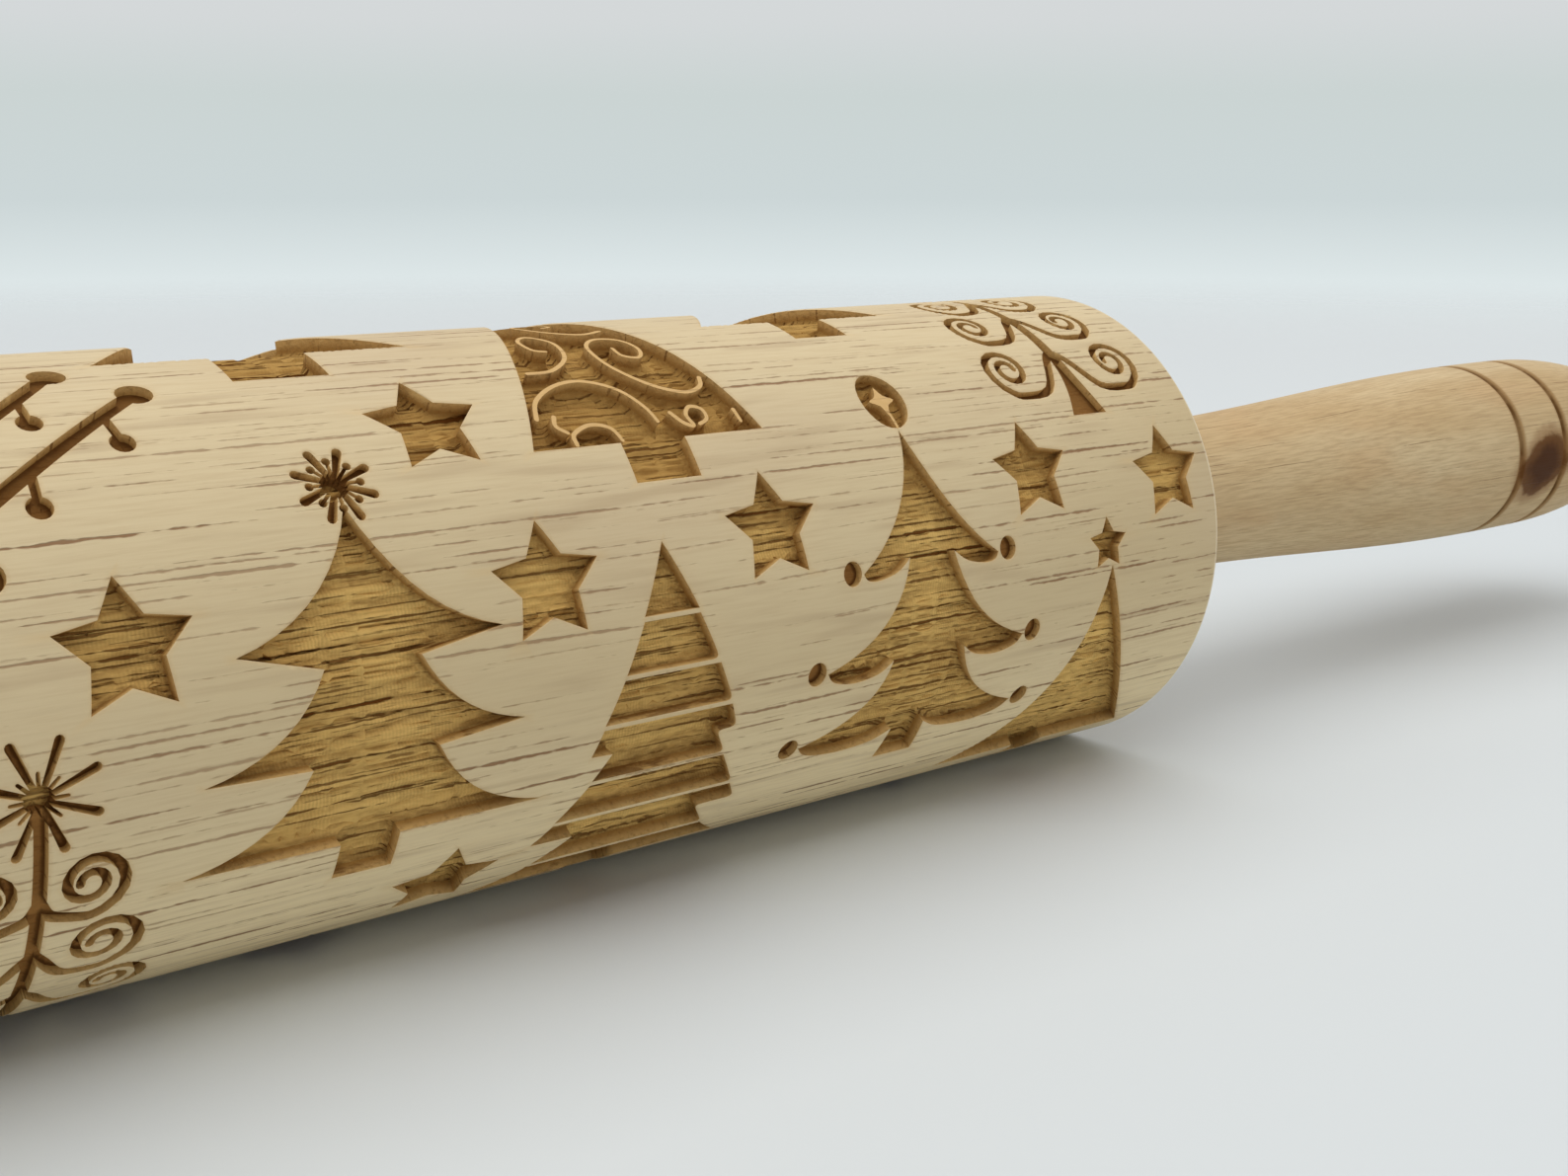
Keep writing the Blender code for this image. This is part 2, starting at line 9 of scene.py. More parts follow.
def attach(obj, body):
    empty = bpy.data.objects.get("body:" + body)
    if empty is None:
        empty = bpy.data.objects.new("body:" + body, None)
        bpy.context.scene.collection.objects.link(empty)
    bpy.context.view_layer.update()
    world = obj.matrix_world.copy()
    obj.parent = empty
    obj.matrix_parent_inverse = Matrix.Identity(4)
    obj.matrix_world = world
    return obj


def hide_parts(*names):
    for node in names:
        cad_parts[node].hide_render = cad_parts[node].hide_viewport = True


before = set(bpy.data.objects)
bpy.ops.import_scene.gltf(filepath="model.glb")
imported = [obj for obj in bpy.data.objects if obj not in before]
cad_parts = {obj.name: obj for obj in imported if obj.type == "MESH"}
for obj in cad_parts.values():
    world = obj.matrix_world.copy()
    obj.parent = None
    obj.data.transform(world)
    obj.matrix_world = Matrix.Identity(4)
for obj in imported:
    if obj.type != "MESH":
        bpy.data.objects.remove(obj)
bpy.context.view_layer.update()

# An engraved rolling pin: a pale roller with stars and fir trees cut into it, between two tan handles.
# Shapes are drawn in millimetres and turned into metres when a mesh is made; materials read metres.
mm = 0.001
axisHeight = 25  # the roller stands on the table, so its axis is one radius up


def paint(red, green, blue):
    # a colour as picked from a photograph, in the numbers that a shader takes
    values = [level / 255 for level in (red, green, blue)]
    return tuple(v / 12.92 if v <= 0.04045 else ((v + 0.055) / 1.055) ** 2.4 for v in values) + (1,)


class Nodes:
    # short ways to add the nodes of one tree, already joined
    def __init__(self, tree):
        self.tree = tree

    def add(self, kind, inputs=(), **settings):
        node = self.tree.nodes.new(kind)
        for name, value in settings.items():
            setattr(node, name, value)
        for key, value in (inputs.items() if isinstance(inputs, dict) else enumerate(inputs)):
            if isinstance(value, bpy.types.NodeSocket):
                self.tree.links.new(value, node.inputs[key])
            elif value is not None:
                node.inputs[key].default_value = value
        return node

    def calc(self, operation, a, b=None, c=None, clamp=False):
        return self.add("ShaderNodeMath", [a, b, c], operation=operation, use_clamp=clamp).outputs[0]

    def times(self, a, b):
        return self.calc("MULTIPLY", a, b)

    def minus(self, a, b):
        return self.calc("SUBTRACT", a, b)

    def timesPlus(self, a, b, c):
        return self.calc("MULTIPLY_ADD", a, b, c)

    def vector(self, operation, a, b=None):
        return self.add("ShaderNodeVectorMath", [a, b], operation=operation).outputs

    def spread(self, value, low, high, toLow=0.0, toHigh=1.0):
        inputs = [value, low, high, toLow, toHigh]
        return self.add("ShaderNodeMapRange", inputs, interpolation_type="SMOOTHSTEP").outputs[0]


class Finish(Nodes):
    # one material: a base colour, layers of others over it, and the shader's own values
    def __init__(self, name, piece=None):
        self.material = bpy.data.materials.new(name)
        self.material.use_nodes = True
        super().__init__(self.material.node_tree)
        self.shader = self.tree.nodes["Principled BSDF"]
        self.place = self.add("ShaderNodeTexCoord").outputs["Object"]
        self.x, self.y, self.z = self.add("ShaderNodeSeparateXYZ", [self.place]).outputs
        self.piece = piece  # the dictionary with its colours

    def stretched(self, along, across=1):
        return self.vector("MULTIPLY", self.place, (along, across, across))[0]

    def noise(self, source, scale, detail=2.0, roughness=0.5):
        inputs = {"Vector": source, "Scale": scale, "Detail": detail, "Roughness": roughness}
        return self.add("ShaderNodeTexNoise", inputs).outputs[0]

    def grain(self, along, *settings):
        # noise drawn out along the axis
        return self.noise(self.stretched(along), *settings)

    def patches(self, along, scale, low, high, seed=0.0, detail=2.0):
        moved = self.vector("ADD", self.stretched(along), (seed, 0, seed))[0]
        return self.spread(self.noise(moved, scale, detail), low, high)

    def attribute(self, name):
        return self.add("ShaderNodeAttribute", attribute_name=name).outputs["Fac"]

    def aboveAxis(self):
        return self.minus(self.z, axisHeight * mm)

    def turned(self):
        # the angle round the axis: 0 at the front, and growing upwards
        return self.calc("ARCTAN2", self.aboveAxis(), self.times(self.y, -1))

    def growthRings(self, moved, width, wander=None):
        # rings across the end of a log whose middle lies off the axis
        reach = self.vector("LENGTH", self.vector("ADD", self.stretched(0), moved)[0])["Value"]
        if wander:
            reach = self.calc("ADD", reach, self.times(self.grain(0, 90), wander))
        return self.calc("SINE", self.times(reach, 2 * math.pi / width))

    def dashes(self, kind):
        # rows of tapered lines along the grain: 1 on a line, 0 beside it
        pitch, length, width, share, seed, wander = self.piece["dashes"][kind]
        count = round(2 * math.pi * roller["radius"] / pitch)
        waves = self.minus(self.grain(0.35, 75, 1.0), 0.5)
        across = self.timesPlus(self.turned(), count / (2 * math.pi), self.times(waves, wander / pitch))
        row = self.calc("FLOOR", across)
        shifts = self.add("ShaderNodeTexWhiteNoise", {"W": self.calc("ADD", row, seed)},
                          noise_dimensions="1D").outputs[0]
        along = self.timesPlus(self.x, 1 / (length * mm), self.times(shifts, 9))
        cell = self.add("ShaderNodeCombineXYZ", [row, self.calc("FLOOR", along), seed]).outputs[0]
        chance = self.add("ShaderNodeTexWhiteNoise", {"Vector": cell}, noise_dimensions="3D").outputs["Color"]
        shift, size, there = self.add("ShaderNodeSeparateColor", [chance]).outputs
        off = self.calc("ABSOLUTE", self.minus(self.calc("FRACT", across), self.timesPlus(shift, 0.7, 0.15)))
        ahead = self.calc("FRACT", along)
        taper = self.times(self.times(ahead, self.minus(1, ahead)), 4)
        half = 0.5 * width / pitch
        ragged = self.timesPlus(self.grain(0.3, 3400, 1.0), 1.3, -0.65)
        reach = self.times(self.times(self.timesPlus(size, 0.65, 0.35), taper), half)
        reach = self.timesPlus(ragged, half, reach)
        broken = self.spread(self.grain(0.22, 1300, 1.0), 0.36, 0.5, -0.5 * half, 0.0)
        line = self.calc("DIVIDE", self.minus(self.calc("ADD", reach, broken), off), half * 0.5, clamp=True)
        line = self.times(line, self.timesPlus(size, 0.6, 0.4))
        return self.times(line, self.calc("LESS_THAN", there, share))

    def lines(self, first, *others):
        # several kinds of dashes in one; each of the others comes with its strength
        found = self.dashes(first)
        for kind, strength in others:
            found = self.calc("MAXIMUM", found, self.times(self.dashes(kind), strength))
        return found

    def mix(self, share, a, b):
        return self.add("ShaderNodeMix", {0: share, 6: a, 7: b}, data_type="RGBA").outputs[2]

    def colour(self, name):
        return paint(*self.piece["colours"][name])

    def base(self, share, a, b):
        self.painted = self.mix(share, self.colour(a), self.colour(b))

    def layer(self, share, name, strength=1):
        share = share if strength == 1 else self.times(share, strength)
        self.painted = self.mix(share, self.painted, self.colour(name))

    def bump(self, height, distance):
        node = self.add("ShaderNodeBump", {"Height": height, "Distance": distance})
        self.tree.links.new(node.outputs[0], self.shader.inputs["Normal"])

    def done(self, roughness, specular=0.5, **fixed):
        given = {"Base_Color": self.painted, "Roughness": roughness, "Specular_IOR_Level": specular, **fixed}
        for name, value in given.items():
            socket = self.shader.inputs[name.replace("_", " ")]
            if isinstance(value, bpy.types.NodeSocket):
                self.tree.links.new(value, socket)
            else:
                socket.default_value = value
        return self.material


# Figures are drawn flat, as on the unrolled roller: x runs along it and y round it, from the foot at 0.

def blend(a, b, share):
    return a + (b - a) * share


def bentLine(start, bend, end, steps=9):
    # from start to end, aiming at bend in the middle
    points = []
    for n in range(steps + 1):
        t = n / steps
        points.append(tuple((1 - t) ** 2 * a + 2 * t * (1 - t) * b + t * t * c
                            for a, b, c in zip(start, bend, end)))
    return points


def curveThrough(points, steps=6):
    # a smooth line through every point
    line = []
    for n in range(len(points) - 1):
        p0, p1 = points[max(n - 1, 0)], points[n]
        p2, p3 = points[n + 1], points[min(n + 2, len(points) - 1)]
        for k in range(steps):
            t = k / steps
            line.append(tuple(
                0.5 * (2 * b + (c - a) * t + (2 * a - 5 * b + 4 * c - d) * t * t
                       + (3 * b - a - 3 * c + d) * t ** 3)
                for a, b, c, d in zip(p0, p1, p2, p3)))
    return line + [tuple(points[-1])]


def mirrored(rightSide):
    return rightSide + [(-x, y) for x, y in reversed(rightSide) if x > 0]


def disc(x, y, radius, tall=None, count=18):
    tall = tall or radius
    turns = [2 * math.pi * n / count for n in range(count)]
    return [(x + radius * math.cos(t), y + tall * math.sin(t)) for t in turns]


def stroke(line, width, endWidth=None, capSteps=5):
    # a groove with round ends that runs along a line
    endWidth = endWidth or width
    last = len(line) - 1
    left, right, caps = [], [], []
    for n, (x, y) in enumerate(line):
        (ax, ay), (bx, by) = line[max(n - 1, 0)], line[min(n + 1, last)]
        turn = math.atan2(by - ay, bx - ax)
        half = blend(width, endWidth, n / last) / 2
        for side, row in ((1, left), (-1, right)):
            row.append((x - side * half * math.sin(turn), y + side * half * math.cos(turn)))
        if n in (0, last):
            start = turn + (math.pi / 2 if n == 0 else -math.pi / 2)
            turns = [start + math.pi * k / capSteps for k in range(1, capSteps)]
            caps.append([(x + half * math.cos(t), y + half * math.sin(t)) for t in turns])
    return caps[0] + right + caps[1] + left[::-1]


def star(x=0, y=0, radius=5.15, inner=0.53, points=5):
    corners = []
    for n in range(2 * points):
        turn = math.pi / 2 + math.pi * n / points
        reach = radius * (inner if n % 2 else 1)
        corners.append((x + reach * math.cos(turn), y + reach * math.sin(turn)))
    return corners


def burst(y, reach, disk, thickness, dots, rays=8):
    # a sparkler: rays that widen outwards from a round middle, and shorter ones or dots between them
    shapes = [("cut", disc(0, y, disk))]
    for n in range(rays):
        turn = 2 * math.pi * (n + 0.5) / rays
        between = 2 * math.pi * n / rays
        tip = (math.cos(turn) * (reach - thickness / 2), y + math.sin(turn) * (reach - thickness / 2))
        near = (math.cos(turn) * 0.2, y + math.sin(turn) * 0.2)
        share = (0.6 if dots else 0.42) * reach
        short = (math.cos(between) * share, y + math.sin(between) * share)
        shapes.append(("line", stroke([near, tip], 0.55 * thickness, thickness)))
        shapes.append(("line", stroke([(0, y), short], 0.4, 0.26, 3)))
        if dots:
            shapes.append(("line", disc(*short, 0.36, count=10)))
    return shapes


def fir():
    # the two sides are not quite the same
    rightTiers = (((15.1, 3.8), (5, 11.1)), ((12.5, 12), (3.7, 18.5)), ((10.9, 19.7), (0, 30.5)))
    leftTiers = (((14.9, 3.8), (5.4, 11.1)), ((13.7, 11.4), (4.2, 18.6)), ((10.7, 20.4), (0, 30.5)))
    sides = []
    for way, tiers in ((1, rightTiers), (-1, leftTiers)):
        side = [(2.5 * way, 0), (2.5 * way, 3.7)]
        for tip, notch in tiers:
            bend = (blend(notch[0], tip[0], 0.28), blend(tip[1], notch[1], 0.19))
            side += bentLine(*[(way * x, y) for x, y in (tip, bend, notch)])
        sides.append(side)
    return [("cut", sides[0] + sides[1][-2::-1])] + burst(32.4, 3.45, 0.9, 0.78, True)


def plain(trunk=2.2, foot=4.3, wide=14.2):
    side = [(trunk, 0), (trunk, foot)] + bentLine((wide, foot), (4.6, 14.3), (0, 29.2), 14)
    return [("cut", mirrored(side))]


def narrowFoot():
    return plain(3.2, 4.4, 11.2)


def broad():
    side = [(4, 0), (4, 4.6)] + bentLine((13.25, 4.6), (9.2, 8.6), (6.2, 14.8))
    return [("cut", mirrored(side + bentLine((9.8, 17), (5.5, 20), (0, 31))))]


def bauble():
    lobes = (
        ((2.1, 4), (4.5, 2.85), (8.6, 2.5), (12.2, 3.1), (13.6, 4.3)),
        ((4.5, 12.2), (6.2, 11.1), (9, 10.7), (11.5, 11.2), (12.4, 12.2)),
        ((2.8, 21.7), (4.4, 20.6), (6.6, 20.1), (8, 20.25), (8.5, 20.9)),
    )
    sides = (((4.5, 12.2), (5.9, 6.6)), ((2.8, 21.7), (4.6, 14.6)), ((0, 33.8), (2, 25.2)))
    side = [(2.4, 0)]
    for lobe, (notch, bend) in zip(lobes, sides):
        side += curveThrough(lobe, 5)[:-1] + bentLine(lobe[-1], bend, notch, 10)[:-1]
    shapes = [("cut", mirrored(side + [(0, 33.8)]))]
    for x, y in ((14.85, 4.5), (13.7, 12.4), (9.8, 21.1)):
        shapes += [("line", disc(way * x, y, 1.05, 1.15)) for way in (-1, 1)]
    shapes.append(("cut", disc(0, 37.3, 2.6, 3.25, 28)))
    sparkle = [(0, 39), (0.5, 37.9), (1.5, 37.3), (0.5, 36.7), (0, 35.5),
               (-0.5, 36.7), (-1.5, 37.3), (-0.5, 37.9), (0, 39)]
    shapes.append(("ridge", curveThrough(sparkle, 3)[:-1]))
    shapes.append(("ridge", stroke([(0.1, 35.7), (0.25, 33.9)], 0.3)))
    return shapes


def banded():
    bands = (
        ((0, 40.1), (2.8, 34.13)), ((2.85, 33.72), (4.75, 29.5)), ((4.9, 29.1), (6.55, 25.38)),
        ((6.6, 24.97), (7.5, 22.6), (5.4, 22.5), (6.85, 19.98)), ((6.95, 19.57), (9.25, 15.73)),
        ((9.3, 15.32), (10.7, 13), (6.5, 12.9), (9.15, 9.05)),
        ((9.25, 8.64), (14, 3.4), (2.5, 3.3), (2.5, 0)),
    )
    cut = 0.7  # how much of each corner is rounded off
    shapes = []
    for band in bands:
        right = []
        for n, (x, y) in enumerate(band):
            if n == 0 or n == len(band) - 1 and x < 3:
                right.append((x, y))
                continue
            (ax, ay), (bx, by) = band[n - 1], band[n + 1] if n + 1 < len(band) else (0, y)
            toA, toB = cut / math.hypot(ax - x, ay - y), cut / math.hypot(bx - x, by - y)
            right += bentLine((blend(x, ax, toA), blend(y, ay, toA)), (x, y),
                              (blend(x, bx, toB), blend(y, by, toB)), 3)
        left = [(-x, y) for x, y in reversed(band) if x > 0]
        shapes.append(("cut", right + left))
    return shapes


def lace():
    shapes = [("cut", mirrored([(3.3, 0), (3.3, 3.9), (11.75, 3.9), (8.0, 15), (3.9, 26.5), (0, 36.3)]))]
    ridges = (
        ((-9.9, 7.2), (-8.9, 9.3), (-6.3, 11), (-3.4, 11.4), (-0.6, 10), (1.0, 7.6), (1.5, 5.8)),
        ((-7.4, 4.2), (-7.2, 5.3), (-5.3, 6.1), (-3.5, 5.6), (-2.9, 4.2)),
        ((-8.2, 7.3), (-8.5, 6.3), (-7.7, 5.5)),
        ((8.7, 10.6), (8, 9.4), (5.9, 8.9), (2.9, 10.4), (0.7, 13.4), (0.6, 16.8), (2.4, 18.6), (4.7, 18.1),
         (5.5, 16), (4.6, 14.4), (3.1, 14.9), (3, 16.4)),
        ((3.2, 6.6), (4, 5.4), (4.9, 5), (4.7, 6.2), (5.5, 7.1), (6.6, 6.7), (6.6, 5.6), (5.6, 5.1)),
        ((9.9, 6.3), (10, 5)),
        ((-7.7, 13), (-5.2, 13.2), (-2.7, 15.2), (-2, 18.4), (-3.5, 20.4), (-5, 19.3), (-4.9, 17.2),
         (-3.8, 16.6)),
        ((4.6, 21), (2, 20.3), (-0.9, 22), (-1.9, 25), (-0.4, 27.2), (1.4, 26.4), (1.5, 24.6), (0.4, 24)),
        ((-0.9, 30.2), (0.2, 29), (1.2, 29.9), (0.5, 31.3)),
    )
    return shapes + [("ridge", stroke(curveThrough(ridge, 6), 0.42, 0.34)) for ridge in ridges]


def curl():
    side = curveThrough([(2.4, 0), (1.5, 2.6), (0.95, 5), (0.72, 7.2)], 4) + [(0.55, 20), (0.5, 34)]
    shapes = [("line", mirrored(side))]
    pairs = ((7.7, 7.6, 6.3, 3.5), (14.6, 6.7, 13.7, 3.25), (20.3, 4.9, 20.6, 3.5), (25.5, 3.5, 27.1, 3.1))
    for leaves, x, y, size in pairs:
        bottom = (x, y - size)
        lead = [(0.1, leaves + 0.5), (0.14 * x + 0.2, leaves - 0.55), (0.5 * x, blend(y, bottom[1], 0.86))]
        coil = []
        for n in range(29):
            turn = -math.pi / 2 + n * math.pi / 8
            reach = size * 0.82 ** (n / 4)
            coil.append((x + 0.96 * reach * math.cos(turn), y + reach * math.sin(turn)))
        line = curveThrough(lead + coil[:2], 4) + coil[2:]
        for way in (-1, 1):
            shapes.append(("line", stroke([(way * a, b) for a, b in line], 1.0, 0.66)))
    return shapes + burst(34.4, 4.6, 1.05, 0.72, False)


def branch():
    shapes = [("line", stroke([(0, 0), (0, 36)], 1.5, 1.1))]
    arms = (
        ((0, 1.2), (6.6, 4.6), (12.1, 9.7), ()),
        ((0, 5), (14, 15.1), (27, 24.9), ((16.9, 14.4), (24.2, 19.4))),
        ((0, 14), (12, 18), (21.9, 28.6), ((10.6, 17), (18.6, 22.3))),
        ((0, 23), (7, 26.6), (13, 34.4), ((8.6, 26.6),)),
    )
    for start, bend, end, hanging in arms:
        line = bentLine(start, bend, end, 24)
        for way in (-1, 1):
            cuts = [stroke([(way * x, y) for x, y in line], 1.25), disc(way * end[0], end[1], 1.4, 1.3)]
            for x, y in hanging:
                held = min(line, key=lambda point: abs(point[0] - x))
                cuts += [stroke([(way * held[0], held[1]), (way * x, y)], 0.75, 0.7), disc(way * x, y, 0.95)]
            shapes += [("line", outline) for outline in cuts]
    return shapes + [("cut", star(0, 38.6, 4))]


roller = {
    "length": 250, "radius": 25, "sides": 180, "columns": 90, "seam": -91,  # degrees
    "roundedEdge": 0.6, "engravedMargin": 1.2, "sharpAngle": 50,
    "depth": 1.5, "lineDepth": 1.1,  # of a figure and of a thin line
    "footShare": 0.78, "footReach": 0.34, "footCurve": 0.7,  # a cut is shallower at the foot of its wall
    "rimReach": 0.16, "rimDrop": 0.1, "ridgeDrop": 0.2,  # the worn edge at the top of a wall
    "burnReach": 0.4, "fibreRelief": 0.42,
    # points on a floor: how far apart along it, rows to each side of the roller, and how far in they start
    "floorStep": 1.3, "floorRows": 6, "floorInset": 0.3,
    "outlineStep": 0.6, "shortestEdge": 0.05, "seamGap": 0.02, "markStep": 0.15,
    "bore": 5.5, "bushSeat": (7.3, 16.3), "flangeSeat": (9.1, 1.9),  # radius and depth of a seat
    "seatEdge": 0.25, "faceRing": 18,  # the seat's bevel, and a ring of points on the end face
    # kind of tree, share of half the roller's length, degrees round it: 0 faces front and 90 up
    "trees": (
        (plain, 0.866, -66.5), (bauble, 0.669, -39.8), (banded, 0.432, -71), (fir, 0.217, -34.8),
        (curl, 0.017, -83.7), (plain, -0.22, -62), (bauble, -0.42, -40), (fir, -0.64, -70),
        (lace, -0.86, -38),
        (curl, 0.877, 36.5), (narrowFoot, 0.666, 68.5), (lace, 0.453, 32.8), (broad, 0.222, 67),
        (branch, -0.09, 8), (fir, -0.42, 68), (banded, -0.64, 34), (bauble, -0.86, 66),
        (fir, 0.862, 165), (plain, 0.669, 190), (bauble, 0.432, 150), (banded, 0.217, 175),
        (fir, 0.0, 150), (lace, -0.235, 136), (curl, -0.42, 190), (plain, -0.64, 158), (fir, -0.86, 190),
    ),
    "stars": (
        (0.944, 19.9), (0.79, 24.7), (0.527, 20.4), (0.341, 16.3), (0.295, 50.8), (0.072, 16.3), (0.286, -47),
        (-0.11, -26), (-0.305, 20), (-0.545, 20), (-0.75, 20), (-0.94, 26), (-0.36, -64), (-0.83, -62),
        (0.77, 146), (0.555, 134), (0.33, 142), (0.1, 132), (-0.28, 112), (-0.535, 138), (-0.75, 134),
        (-0.945, 150), (0.768, -84), (0.555, -104), (0.33, -96), (0.22, -78), (0.1, -108), (-0.1, -104),
        (-0.3, -106), (-0.535, -92), (-0.74, -100), (-0.945, -84),
    ),
    "smallStars": ((0.861, 5.5), (-0.22, 12)),
    # the gaps between a floor's fibres: squeeze along and round the roller, seed, width and strength
    "fibreGaps": ((0.045, 0.8, 2.5, 0.2, 1), (0.1, 1.7, 8.5, 0.3, 0.6)),
    "colours": {
        "cream": (216, 196, 156), "creamDark": (205, 184, 143), "blush": (203, 181, 146),
        # edge is a painted highlight for the rounded ends
        # the paler tone is painted bounce light for the underside
        "paintedBounceLight": (240, 220, 176), "edge": (238, 224, 194), "smudge": (184, 160, 124),
        "fleck": (132, 92, 56), "fibre": (190, 164, 126), "scorch": (214, 182, 130),
        "floor": (242, 202, 122), "floorDark": (214, 174, 102), "streak": (94, 53, 14),
        "corner": (104, 69, 32), "wallTop": (210, 172, 110), "wallFoot": (160, 119, 62),
        "groove": (160, 116, 64), "grooveSide": (102, 68, 32), "ridgeTop": (216, 178, 122),
        "endGrain": (206, 184, 144), "endRing": (176, 148, 108),
    },
    # lines along the grain: millimetres from row to row, length and width of a line, share of the places
    # that hold one, seed, and how far a row wanders
    "dashes": {
        "bold": (1.3, 30, 0.42, 0.56, 3, 0.8), "long": (1.7, 54, 0.34, 0.55, 27, 1.3),
        "short": (0.9, 9, 0.3, 0.16, 11, 0.8), "wideStreak": (1.0, 38, 0.42, 0.86, 21, 0.5),
        "fineStreak": (0.56, 14, 0.27, 0.66, 33, 0.5), "wallStreak": (0.9, 14, 0.3, 0.6, 33, 0.5),
        "ridgeStreak": (1.15, 24, 0.42, 0.8, 21, 0.5),
    },
    # where a tone comes in, in metres above the table or from the middle: painted bounce light below, painted
    # shade on the floors and grooves on top, and a painted highlight at the ends
    "bounceLightBelow": (0.005, 0.026), "floorShadedAbove": (0.026, 0.042), "grooveShadedAbove": (0.033, 0.045),
    "highlightedEnds": (0.1243, 0.1247), "rasterPitch": 0.0003,
    "logMiddle": (0, -0.04, 0.015), "ringWidth": 0.0021, "ringWander": 0.004,
}
topSlot, floorSlot, wallSlot, endSlot, ridgeSlot, grooveSlot = range(6)  # the order of its materials
ridgeMark = -1  # stands for a depth where a ridge is left on a floor
touching = 1e-4  # points closer than this are one


def placedShapes():
    # every outline at its place on the unrolled roller, with a copy over the seam where it crosses it
    arc = math.radians(1) * roller["radius"]
    halfLength = roller["length"] / 2
    figures = [(kind(), share, degrees) for kind, share, degrees in roller["trees"]]
    figures += [([("cut", star())], *place) for place in roller["stars"]]
    figures += [([("cut", star(radius=2.75))], *place) for place in roller["smallStars"]]
    around = 360 * arc
    low = roller["seam"] * arc
    placed = []
    for shapes, share, degrees in figures:
        for kind, outline in shapes:
            spots = np.array(outline) + (share * halfLength, degrees * arc)
            for shift in (-around, 0, around):
                moved = spots + (0, shift)
                if moved[:, 1].max() > low and moved[:, 1].min() < low + around:
                    placed.append((kind, moved))
    return placed, low, around


def insideOutline(spots, outline):
    # which spots lie inside a closed outline
    inside = np.zeros(len(spots), bool)
    ends = np.roll(outline, -1, axis=0)
    for (ax, ay), (bx, by) in zip(outline, ends):
        if ay == by:
            continue
        crosses = (spots[:, 1] < ay) != (spots[:, 1] < by)
        inside ^= crosses & (spots[:, 0] < ax + (spots[:, 1] - ay) * (bx - ax) / (by - ay))
    return inside


def extraSpots(placed, low, step):
    # points on both sides of every outline, and on the floors along the lines of the sheet
    extra = []
    for kind, outline in placed:
        ends = np.roll(outline, -1, axis=0)
        for a, b in zip(outline, ends):
            reach = np.hypot(*(b - a))
            if reach < roller["shortestEdge"]:
                continue
            normal = np.array((a[1] - b[1], b[0] - a[0])) / reach
            count = max(round(reach / roller["outlineStep"]), 1)
            for n in range(count):
                middle = a + (b - a) * (n + 0.5) / count
                extra += [middle + normal * off * way for off in (roller["rimReach"], roller["footReach"])
                          for way in (-1, 1)]
        if kind != "cut":
            continue
        left, bottom = outline.min(axis=0)
        right, top = outline.max(axis=0)
        fine = step / roller["floorRows"]
        rows = low + fine * np.arange(math.ceil((bottom - low) / fine), (top - low) / fine)
        columns = np.arange(left + roller["floorInset"], right, roller["floorStep"])
        if len(rows) and len(columns):
            grid = np.array([(x, y) for y in rows for x in columns])
            extra += list(grid[insideOutline(grid, outline)])
    return extra


def inShortSteps(outline, longest):
    # the same outline with points close enough together to bend round the roller
    points = []
    for a, b in zip(outline, np.roll(outline, -1, axis=0)):
        count = max(math.ceil(np.hypot(*(b - a)) / longest), 1)
        points += [a + (b - a) * n / count for n in range(count)]
    return np.array(points)


def unrolledSheet():
    # the sheet cut into triangles along its lines and outlines, and how deep each triangle lies
    placed, low, around = placedShapes()
    step, gap = around / roller["sides"], roller["seamGap"]
    half = roller["length"] / 2 - roller["roundedEdge"]
    margin = roller["length"] / 2 - roller["engravedMargin"]
    points, edges, faces, depths = [], [], [], []
    for n in range(roller["sides"] + 1):
        if n in (0, roller["sides"]):
            edges.append((len(points), len(points) + 1))
        points += [(-half, low + n * step), (half, low + n * step)]
        points += [(x, low + n * step) for x in np.linspace(-half, half, roller["columns"])[1:-1]]
    for x in (-margin, margin):
        edges += [(len(points) + n, len(points) + n + 1) for n in range(roller["sides"])]
        points += [(x, low + n * step) for n in range(roller["sides"] + 1)]
    for kind, outline in placed:
        outline = inShortSteps(outline, step)
        x, y = outline[:, 0], outline[:, 1]
        if (x * np.roll(y, -1) - y * np.roll(x, -1)).sum() < 0:
            outline = outline[::-1]
        faces.append(list(range(len(points), len(points) + len(outline))))
        depths.append({"cut": roller["depth"], "line": roller["lineDepth"], "ridge": ridgeMark}[kind])
        points += [tuple(spot) for spot in outline]
    points += [tuple(spot) for spot in extraSpots(placed, low, step)
               if abs(spot[0]) < margin and low + gap < spot[1] < low + around - gap]
    sheet = delaunay_2d_cdt([Vector(spot) for spot in points], edges, faces, 0, 1e-5)
    spots = np.array([tuple(spot) for spot in sheet[0]])
    triangles, sunk = [], []
    for triangle, within in zip(sheet[2], sheet[5]):  # each with the outlines that it lies in
        middle = spots[triangle].mean(axis=0)
        if abs(middle[0]) > half or not low < middle[1] < low + around:
            continue
        found = [depths[face] for face in within]
        triangles.append(triangle)
        if abs(middle[0]) > margin or max(found, default=-1) < 0:
            sunk.append(0)
        else:
            sunk.append(ridgeMark if ridgeMark in found else max(found))
    return spots, np.array(triangles), np.array(sunk), low, around


def fibreGap(x, y):
    # how far a place on a floor lies in a gap between two raised fibres: 0 on top, 1 in the gap
    return max(0, *[strength * (1 - abs(noise.noise(Vector((x * along, y * across, seed)))) / width)
                    for along, across, seed, width, strength in roller["fibreGaps"]])


def onCircle(x, turn, radius):
    # a place round the axis: a turn of 0 is the front, and a quarter turn the top
    return x, -math.cos(turn) * radius, axisHeight + math.sin(turn) * radius


def meshFrom(name, corners, faces):
    made = bpy.data.meshes.new(name)
    made.from_pydata([tuple(corner) for corner in np.array(corners) * mm], [], faces)
    made.update()
    return made


def shaded(mesh, sharpAngle):
    mesh.shade_smooth()
    mesh.set_sharp_from_angle(angle=math.radians(sharpAngle))
    return mesh


